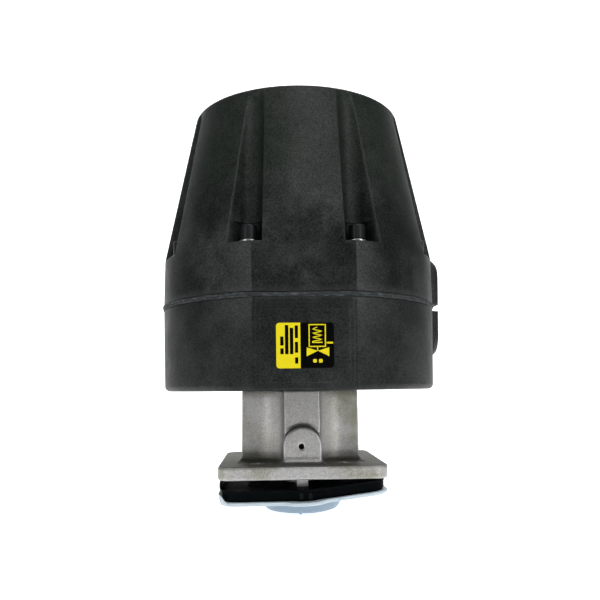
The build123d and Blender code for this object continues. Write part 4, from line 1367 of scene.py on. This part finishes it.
def join(first, *others):
    """Puts the meshes of several objects into the first one."""
    work = bmesh.new()
    work.from_mesh(first.data)
    for other in others:
        work.from_mesh(other.data)
        drop(other)
    work.to_mesh(first.data)
    work.free()


def build_face():
    """Fluoropolymer sheet under the backing: thin flared edge, belly, front tab and moulding nub."""
    s = sizes()
    outline = rounded_square(s.face_width, 0.009, steps=60, tab=(0.0015, 0.0093, 0.0036, 0.006))
    top = -s.droop - s.backing_thickness
    bottom = top - s.face_thickness
    inner = s.backing_width / s.face_width
    curl = s.edge_curl * raised(-outline[:, 0] - 0.0434, 0.0050)
    rows = belly_rows(outline, top, s.face_thickness, False)
    rows += [slab_loop(outline, 0.75, top), slab_loop(outline, inner * 0.995, top)]
    rows += [slab_loop(outline, 0.982, top + curl * 0.3, 0.00003, 6),
             slab_loop(outline, 0.995, top + curl, 0.00006, 7)]
    rows += [slab_loop(outline, 1.000, top + curl - 0.0004, 0.00006, 8),
             slab_loop(outline, 0.998, top + curl - 0.0014), slab_loop(outline, 0.985, bottom + curl * 0.3),
             slab_loop(outline, 0.97, bottom), slab_loop(outline, 0.75, bottom)]
    rows += belly_rows(outline, bottom, 0.0, True)
    face = new_object("diaphragm_face", stack_mesh("diaphragm_face", rows))
    bolt_holes(face, s.diaphragm_hole)
    tip = bottom - s.belly_depth
    nub = turned_mesh("diaphragm_nub", [
        (0.0016, tip + 0.0010), (0.0013, tip + 0.0001), (0.0009, tip - 0.0005), (0.0008, tip - 0.0017),
        (0.0005, tip - 0.0021)], 32)
    join(face, new_object("diaphragm_nub", nub))
    smooth(face.data, 40.0)
    return face


# ---- seam sheet ----

def build_sheet_rim():
    """Clamped rim of the fabric-reinforced sheet: its cut edge waves in and out and shows its plies."""
    s = sizes()
    rng = np.random.default_rng(21)
    angles = np.linspace(0, 2 * math.pi, 720, endpoint=False)
    wave = sum(rng.normal(0, 1) * np.cos(k * angles + rng.uniform(0, 6.28)) / k ** 0.5 for k in range(3, 60))
    wave = wave / np.abs(wave).max()
    fine = rng.normal(0, 1, (7, len(angles)))
    base = cover_body(angles, SEAM_HIGH)
    middle = (SEAM_LOW + SEAM_HIGH) / 2
    half = (SEAM_HIGH - SEAM_LOW) / 2
    blank = np.ones_like(angles)
    rows = [cylinder_points(blank * RIM_INSIDE, angles, SEAM_LOW)]
    profile = ((-1.0, -0.0014), (-0.98, 0.0001), (-0.62, 0.00055), (-0.1, 0.00035), (0.35, 0.0008),
               (0.9, 0.0006), (1.0, -0.0014))
    for index, (part, proud) in enumerate(profile):
        ragged = 0 if proud < 0 else 1
        reach = base + proud + ragged * (wave * s.rim_wave + fine[index] * s.rim_rough)
        level = middle + half * part + ragged * (wave * 0.00012)
        level = np.clip(level, SEAM_LOW, SEAM_HIGH)
        rows.append(np.stack([reach * np.sin(angles), -reach * np.cos(angles), level * blank], -1))
    rows.append(cylinder_points(blank * RIM_INSIDE, angles, SEAM_HIGH))
    mesh = mesh_closed("sheet_rim", np.stack(rows))
    smooth(mesh, 60.0)
    return new_object("sheet_rim", mesh)


def build_web():
    """Flexible middle of the sheet, dished down to the plates with a soft roll."""
    top = high("lower_plate").z
    thick = SEAM_HIGH - SEAM_LOW
    line = [(0.0604, SEAM_LOW), (0.0590, SEAM_LOW - 0.0012), (0.0560, SEAM_LOW - 0.0052),
            (0.0520, top + 0.0012), (0.0500, top), (0.0052, top)]
    upper = [(r, z + thick) for r, z in reversed(line)]
    mesh = ring_mesh("sheet_web", line + upper, 160)
    smooth(mesh, 50.0)
    return new_object("sheet_web", mesh)


# ---- bolts, cap and label ----

def cap_mesh():
    """One bolt cap: hollow, soft-edged, with a small gate mark on top."""
    radius = (high("bolt_caps") - low("bolt_caps")).x / 2 - sizes().bolt_circle * math.cos(math.pi / 8)
    base = low("bolt_caps").z
    top = high("bolt_caps").z
    edge = 0.0009
    profile = [(0.0004, base + 0.0048), (0.0031, base + 0.0046), (0.0033, base), (radius - 0.0003, base),
               (radius, base + 0.0003), (radius - 0.0001, top - edge)]
    profile += [(radius - 0.0001 - edge * (1 - math.cos(t)), top - edge + edge * math.sin(t))
                for t in np.linspace(0.2, math.pi / 2, 6)]
    profile += [(0.0016, top + 0.00002), (0.0013, top - 0.0004), (0.0004, top - 0.0005)]
    return turned_mesh("bolt_cap", profile, 40)


def washer_mesh():
    """One washer with rolled edges."""
    base = low("bolt_washers").z
    top = high("bolt_washers").z
    edge = 0.0002
    return ring_mesh("bolt_washer", [
        (WASHER_HOLE, base), (WASHER_RADIUS - edge, base), (WASHER_RADIUS, base + edge),
        (WASHER_RADIUS, top - edge), (WASHER_RADIUS - edge, top), (WASHER_HOLE, top)], 48)


def rounded_box(left, bottom, right, top, corner, corners=(1, 1, 1, 1), steps=8):
    """Flat box outline, corners rounded as chosen: lower left, lower right, upper right, upper left."""
    centres = ((left, bottom, 1, 1, math.pi), (right, bottom, -1, 1, 1.5 * math.pi),
               (right, top, -1, -1, 0.0), (left, top, 1, -1, 0.5 * math.pi))
    points = []
    for (x, z, sx, sz, start), rounded in zip(centres, corners):
        if not rounded:
            points.append((x, z))
            continue
        for t in np.linspace(start, start + math.pi / 2, steps):
            points.append((x + sx * corner + corner * math.cos(t), z + sz * corner + corner * math.sin(t)))
    return points


def on_label(u, v):
    """A point on the label, from its share across and its share down."""
    return (LABEL_LOW.x + u * (LABEL_HIGH.x - LABEL_LOW.x), LABEL_HIGH.z - v * (LABEL_HIGH.z - LABEL_LOW.z))


def stroke(start, end, width):
    """A straight line on the label as a narrow four-sided outline."""
    a = Vector(on_label(*start))
    b = Vector(on_label(*end))
    along = (b - a).normalized()
    side = Vector((-along.y, along.x)) * width / 2
    return [tuple(a + side), tuple(b + side), tuple(b - side), tuple(a - side)]


def label_box(u0, v0, u1, v1, corner=0.0, corners=(1, 1, 1, 1)):
    """A flat box on the label between two corners."""
    left, bottom = on_label(u0, v1)
    right, top = on_label(u1, v0)
    if corner == 0.0:
        return [(left, bottom), (right, bottom), (right, top), (left, top)]
    return rounded_box(left, bottom, right, top, corner, corners)


def label_bars():
    """Plain bars in four columns, standing where a notice would be."""
    columns = ((0.070, 0.128, (0.30, 0.50, 0.56, 0.69)), (0.152, 0.212, (0.05, 0.69)),
               (0.236, 0.296, (0.11, 0.69)), (0.322, 0.378, (0.06, 0.34, 0.42, 0.66, 0.76, 0.90)))
    outlines = []
    for left, right, cuts in columns:
        for top, bottom in zip(cuts[::2], cuts[1::2]):
            outlines.append(label_box(left, top, right, bottom, 0.0003))
    return outlines


def label_symbol():
    """Actuator box with a spring, its air port, and a valve body under it."""
    line = 0.00056
    outlines = [stroke((0.575, 0.045), (0.845, 0.045), line), stroke((0.575, 0.525), (0.845, 0.525), line),
                stroke((0.570, 0.035), (0.570, 0.535), line), stroke((0.850, 0.035), (0.850, 0.535), line),
                stroke((0.715, 0.535), (0.715, 0.62), line), stroke((0.62, 0.435), (0.80, 0.435), line)]
    left = 0.625
    right = 0.795
    levels = np.linspace(0.10, 0.415, 8)
    points = [(left if k % 2 else right, v) for k, v in enumerate(levels)]
    points[0] = (0.71, levels[0])
    outlines += [stroke(a, b, line * 0.8) for a, b in zip(points, points[1:])]
    outlines += [label_box(0.88, 0.425, 0.985, 0.465, 0.0003), stroke((0.850, 0.445), (0.885, 0.445), line)]
    middle = on_label(0.718, 0.62)
    for side in (0.525, 0.915):
        outlines.append([on_label(side, 0.545), middle, on_label(side, 0.74)])
    outlines += [label_box(0.635, 0.80, 0.70, 0.88, 0.0005), label_box(0.735, 0.80, 0.80, 0.88, 0.0005)]
    return outlines


def build_label():
    """Label: black film base with yellow printing and plain bars on it."""
    front = LABEL_LOW.y
    depth = LABEL_HIGH.y - front
    tones = colours()
    print_depth = 0.00002
    black = printed_film("polyester_label_black", tones.label_black)
    yellow = printed_film("polyester_label_yellow", tones.label_yellow)
    base = new_object("label_base", prisms("label_base", [label_box(0, 0, 1, 1, 0.0016)], front, depth))
    half = label_box(0.0, 0.0, 0.418, 1.0, 0.0016, (1, 0, 0, 1))
    printed = new_object("label_yellow", prisms(
        "label_yellow", [half] + label_symbol(), front - print_depth, print_depth * 1.5))
    bars = new_object("label_bars", prisms(
        "label_bars", label_bars(), front - print_depth * 2, print_depth * 1.5))
    for obj, mat in ((base, black), (printed, yellow), (bars, black)):
        paint(obj, mat)
    return base, printed, bars


def build_indicator_cap():
    """Clear screw-in cap with a domed window."""
    top = high("indicator_cap").z
    base = low("indicator_cap").z
    flange_top = COVER_TOP + 0.003
    edge = 0.0005
    rim = WINDOW_FLANGE
    thread = WINDOW_THREAD
    dome = WINDOW_DOME
    outer = [(0.0003, top)]
    outer += [(dome * math.sin(t), flange_top + 0.001 + (top - flange_top - 0.001) * math.cos(t))
              for t in np.linspace(0.15, 1.45, 10)]
    outer += [(dome + 0.0001, flange_top + 0.0003), (dome + 0.0004, flange_top), (rim - edge, flange_top),
              (rim, flange_top - edge), (rim, COVER_TOP + edge), (rim - edge, COVER_TOP),
              (thread, COVER_TOP), (thread, base + edge), (thread - edge, base)]
    inner = dome - WINDOW_WALL
    inner_side = [(inner + 0.0002, base), (inner, base + edge), (inner, flange_top)]
    inner_side += [(inner * math.sin(t), flange_top + (top - flange_top - WINDOW_WALL) * math.cos(t))
                   for t in np.linspace(1.4, 0.15, 8)]
    cap = new_object("indicator_window", turned_mesh("indicator_window", outer + inner_side, 128))
    smooth(cap.data, 35.0)
    return cap


def build_grip():
    """Grip ribs around the clear cap's flange."""
    half = 0.0005
    base = COVER_TOP + 0.0006
    top = COVER_TOP + 0.0024
    outline = [(-0.0006, -half), (0.0002, -half * 0.9), (0.0004, 0.0), (0.0002, half * 0.9), (-0.0006, half)]
    loops = [np.array([(x, y, z) for x, y in outline]) for z in (base, top)]
    rib = stack_mesh("indicator_grip", loops)
    return copies_around("indicator_grip", rib, 36, WINDOW_FLANGE, 0.0, "clear")


# ---- operators ----

class HEAD_OT_covers(bpy.types.Operator):
    """Build both covers with their port pads and threads"""
    bl_idname = "head.covers"
    bl_label = "Covers and ports"

    def execute(self, context):
        piece(build_top_cover(), HOUSING, "moulded", "moulded_black", "top_cover")
        piece(build_bottom_cover(), HOUSING, "moulded", "moulded_black", "bottom_cover")
        pads = (("upper_pad", PORT_HIGH, SEAM_HIGH + PAD_EDGE, SEAM_HIGH + UPPER_PAD_TOP, True),
                ("lower_pad", PORT_LOW, SEAM_LOW - LOWER_PAD_BOTTOM, SEAM_LOW - PAD_EDGE, False))
        for name, port, bottom, top, arch_up in pads:
            piece(build_pad(name, port, bottom, top, arch_up), HOUSING, "moulded", "moulded_black")
            piece(build_threads(name + "_threads", port), HOUSING, None, "insert_brass")
        return {"FINISHED"}


class HEAD_OT_bonnet(bpy.types.Operator):
    """Build the cast bonnet"""
    bl_idname = "head.bonnet"
    bl_label = "Bonnet"

    def execute(self, context):
        piece(build_bonnet(), HOUSING, "cast", "cast_stainless", "bonnet")
        return {"FINISHED"}


class HEAD_OT_diaphragm(bpy.types.Operator):
    """Build the hanging valve diaphragm"""
    bl_idname = "head.diaphragm"
    bl_label = "Valve diaphragm"

    def execute(self, context):
        backing = piece(build_backing(), HOUSING, "rubber", "backing_rubber", "valve_diaphragm_backing")
        face = piece(build_face(), HOUSING, "white", "white_fluoropolymer", "valve_diaphragm_face")
        for obj in (backing, face):
            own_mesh(obj)
        return {"FINISHED"}


class HEAD_OT_inside(bpy.types.Operator):
    """Build the actuator's sheet and springs"""
    bl_idname = "head.inside"
    bl_label = "Sheet and springs"

    def execute(self, context):
        piece(build_sheet_rim(), HOUSING, "fabric", "fabric_rubber", "actuator_diaphragm")
        web = piece(build_web(), HOUSING, "fabric", "fabric_rubber")
        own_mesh(web)
        for node, turns, wire in (("outer_spring", 7, 0.0034), ("inner_spring", 9, 0.0022)):
            bottom = low(node)
            top = high(node)
            length = top.z - bottom.z - 2 * wire
            spring = wound_wire(node + "_wire", -bottom.x - wire, length, turns, wire, "spring")
            for vertex in spring.data.vertices:
                vertex.co.z += bottom.z + wire
            piece(spring, HOUSING, None, "spring_steel", node)
            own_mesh(spring)
        return {"FINISHED"}


class HEAD_OT_fixings(bpy.types.Operator):
    """Build the bolt caps and washers around the bolt circle"""
    bl_idname = "head.fixings"
    bl_label = "Caps and washers"

    def execute(self, context):
        s = sizes()
        first = math.pi / s.bolt_count
        caps = copies_around("cap_set", cap_mesh(), s.bolt_count, s.bolt_circle, first, "cap")
        piece(caps, HOUSING, None, "cap_black", "bolt_caps")
        washers = copies_around("washer_set", washer_mesh(), s.bolt_count, s.bolt_circle, first, "turned")
        piece(washers, HOUSING, None, "screw_steel", "bolt_washers")
        return {"FINISHED"}


class HEAD_OT_label(bpy.types.Operator):
    """Build the label"""
    bl_idname = "head.label"
    bl_label = "Label"

    def execute(self, context):
        base, printed, bars = build_label()
        piece(base, HOUSING, None, "label_film", "label")
        piece(printed, HOUSING, None, "label_film")
        piece(bars, HOUSING, None, "label_film")
        return {"FINISHED"}


class HEAD_OT_indicator(bpy.types.Operator):
    """Build the clear indicator cap"""
    bl_idname = "head.indicator"
    bl_label = "Indicator cap"

    def execute(self, context):
        piece(build_indicator_cap(), HOUSING, "clear", "clear_plastic", "indicator_cap")
        piece(build_grip(), HOUSING, None, "clear_plastic")
        return {"FINISHED"}


NODE_FINISHES = {
    "bottom_cover": "moulded", "bonnet": "cast", "compressor": "cast",
    "bonnet_screws": "turned", "bushing_ring": "turned", "cover_bolts": "turned", "bolt_washers": "turned",
    "spindle": "turned", "plate_washer": "turned", "plate_nut": "turned", "compressor_pin": "turned",
    "diaphragm_stud": "turned", "lower_plate": "zinc", "upper_plate": "zinc",
    "outer_spring": "spring", "inner_spring": "spring",
    "spindle_bushing": "brass", "bolt_inserts": "brass", "lower_port_insert": "brass",
    "upper_port_insert": "brass", "floor_seal": "rubber", "spindle_seals": "rubber", "cap_seal": "rubber",
    "actuator_diaphragm": "fabric", "valve_diaphragm_backing": "rubber", "valve_diaphragm_face": "white",
    "bolt_caps": "cap", "indicator_cap": "clear", "indicator_rod": "red", "top_cover": "moulded",
    "label": "cap",
}


class HEAD_OT_finishes(bpy.types.Operator):
    """Give every CAD piece its finish"""
    bl_idname = "head.finishes"
    bl_label = "Finishes of the CAD pieces"

    def execute(self, context):
        for node, name in NODE_FINISHES.items():
            paint(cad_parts[node], finish(name))
        return {"FINISHED"}


# ---- stage ----

EYE_HEIGHT = 0.0497
EYE_DISTANCE = 0.4074
VIEW_ANGLE = math.radians(2.5)
VIEW_ROLL = math.radians(0.65)
FOCAL_SHARE = 679.0 / 600.0
HORIZON_SHIFT = 87.0 / 600.0


def make_camera():
    """Level camera a little left of the front, with the horizon low in the frame."""
    data = bpy.data.cameras.new("camera")
    data.sensor_width = 36.0
    data.lens = 36.0 * FOCAL_SHARE
    data.shift_y = HORIZON_SHIFT
    data.clip_start = 0.01
    data.clip_end = 20.0
    camera = new_object("camera", data)
    side = math.sin(VIEW_ANGLE)
    depth = math.cos(VIEW_ANGLE)
    camera.location = (-EYE_DISTANCE * side + 0.0005, -EYE_DISTANCE * depth, EYE_HEIGHT)
    camera.rotation_euler = (math.pi / 2, 0.0, -VIEW_ANGLE)
    camera.rotation_euler.rotate_axis("Z", -VIEW_ROLL)
    bpy.context.scene.camera = camera


def soft_box(name, place, target, width, height, power):
    """A rectangular area light that faces a point."""
    data = bpy.data.lights.new(name, "AREA")
    data.shape = "RECTANGLE"
    data.size = width
    data.size_y = height
    data.energy = power
    lamp = new_object(name, data)
    lamp.location = place
    aim = Vector(target) - Vector(place)
    lamp.rotation_euler = aim.to_track_quat("-Z", "Y").to_euler()
    return lamp


def make_floor():
    """Pale floor that curves up into a backdrop far behind the object."""
    mesh = bpy.data.meshes.new("floor")
    ground = min(low("valve_diaphragm_face").z, 0.0)
    across = np.linspace(-3.0, 3.0, 7)
    bend = [(-4.0, 0.0), (2.0, 0.0)]
    bend += [(2.0 + math.sin(t), 1.0 - math.cos(t)) for t in np.linspace(0.1, math.pi / 2, 14)]
    bend += [(3.0, 5.0)]
    vertices = [(x, y, ground + z) for y, z in bend for x in across]
    n = len(across)
    faces = [(i * n + j, i * n + j + 1, (i + 1) * n + j + 1, (i + 1) * n + j)
             for i in range(len(bend) - 1) for j in range(n - 1)]
    mesh.from_pydata(vertices, [], faces)
    mesh.shade_smooth()
    floor = new_object("floor", mesh)
    mat, tree, shader, where = material("lit_acrylic_table")
    fibre = noise(tree, where, 6.0, 3.0, 0.5)
    pale = ramp(tree, fibre, [(0.2, linear("#f4f4f3")), (0.8, linear("#f8f8f7"))])
    depth = add(tree, "ShaderNodeSeparateXYZ", {"Vector": where}).outputs["Y"]
    far = spread(tree, depth, 1.0, 0.0, -1.5, -0.35)
    tree.links.new(mix(tree, far, pale, grey(0.12)), shader.inputs["Base Color"])
    shader.inputs["Roughness"].default_value = 0.9
    shader.inputs["Emission Color"].default_value = (1.0, 1.0, 1.0, 1.0)
    tree.links.new(spread(tree, far, 0.72, 0.10), shader.inputs["Emission Strength"])
    paint(floor, mat)


class HEAD_OT_stage(bpy.types.Operator):
    """Set up the floor, the lights and the camera"""
    bl_idname = "head.stage"
    bl_label = "Stage"

    def execute(self, context):
        world = bpy.data.worlds.new("studio")
        world.use_nodes = True
        world.node_tree.nodes["Background"].inputs["Color"].default_value = (1.0, 1.0, 1.0, 1.0)
        world.node_tree.nodes["Background"].inputs["Strength"].default_value = 0.16
        context.scene.world = world
        middle = (0.0, 0.0, 0.09)
        soft_box("key_light", (0.25, -0.85, 1.05), middle, 0.8, 0.6, 6.5)
        soft_box("left_light", (-0.58, -0.62, 0.28), middle, 0.26, 0.6, 0.95)
        soft_box("right_light", (0.55, -0.64, 0.28), middle, 0.26, 0.6, 1.35)
        soft_box("top_light", (0.0, 0.15, 1.2), middle, 1.0, 1.0, 3.0)
        soft_box("backdrop_light", (0.0, 0.9, 2.2), (0.0, 3.0, 0.7), 3.0, 0.8, 40.0)
        make_floor()
        make_camera()
        context.scene.view_settings.view_transform = "Standard"
        return {"FINISHED"}


class HEAD_PT_panel(bpy.types.Panel):
    """Lists the builders of the valve head"""
    bl_label = "Valve Head"
    bl_idname = "HEAD_PT_panel"
    bl_space_type = "VIEW_3D"
    bl_region_type = "UI"
    bl_category = "Valve Head"

    def draw(self, context):
        for operator in STEPS:
            self.layout.operator(operator.bl_idname)


STEPS = (
    HEAD_OT_stage, HEAD_OT_finishes, HEAD_OT_covers, HEAD_OT_bonnet, HEAD_OT_diaphragm, HEAD_OT_inside,
    HEAD_OT_fixings, HEAD_OT_label, HEAD_OT_indicator)
CLASSES = (HeadSizes, HeadColours, *STEPS, HEAD_PT_panel)


def register():
    """Registers the classes and the settings."""
    for item in CLASSES:
        bpy.utils.register_class(item)
    bpy.types.Scene.head_sizes = PointerProperty(type=HeadSizes)
    bpy.types.Scene.head_colours = PointerProperty(type=HeadColours)


def unregister():
    """Removes the settings and the classes."""
    del bpy.types.Scene.head_colours
    del bpy.types.Scene.head_sizes
    for item in reversed(CLASSES):
        bpy.utils.unregister_class(item)


def main():
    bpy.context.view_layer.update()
    register()
    bpy.ops.head.stage()
    bpy.ops.head.finishes()
    bpy.ops.head.covers()
    bpy.ops.head.bonnet()
    bpy.ops.head.diaphragm()
    bpy.ops.head.inside()
    bpy.ops.head.fixings()
    bpy.ops.head.label()
    bpy.ops.head.indicator()


if __name__ == "__main__":
    main()
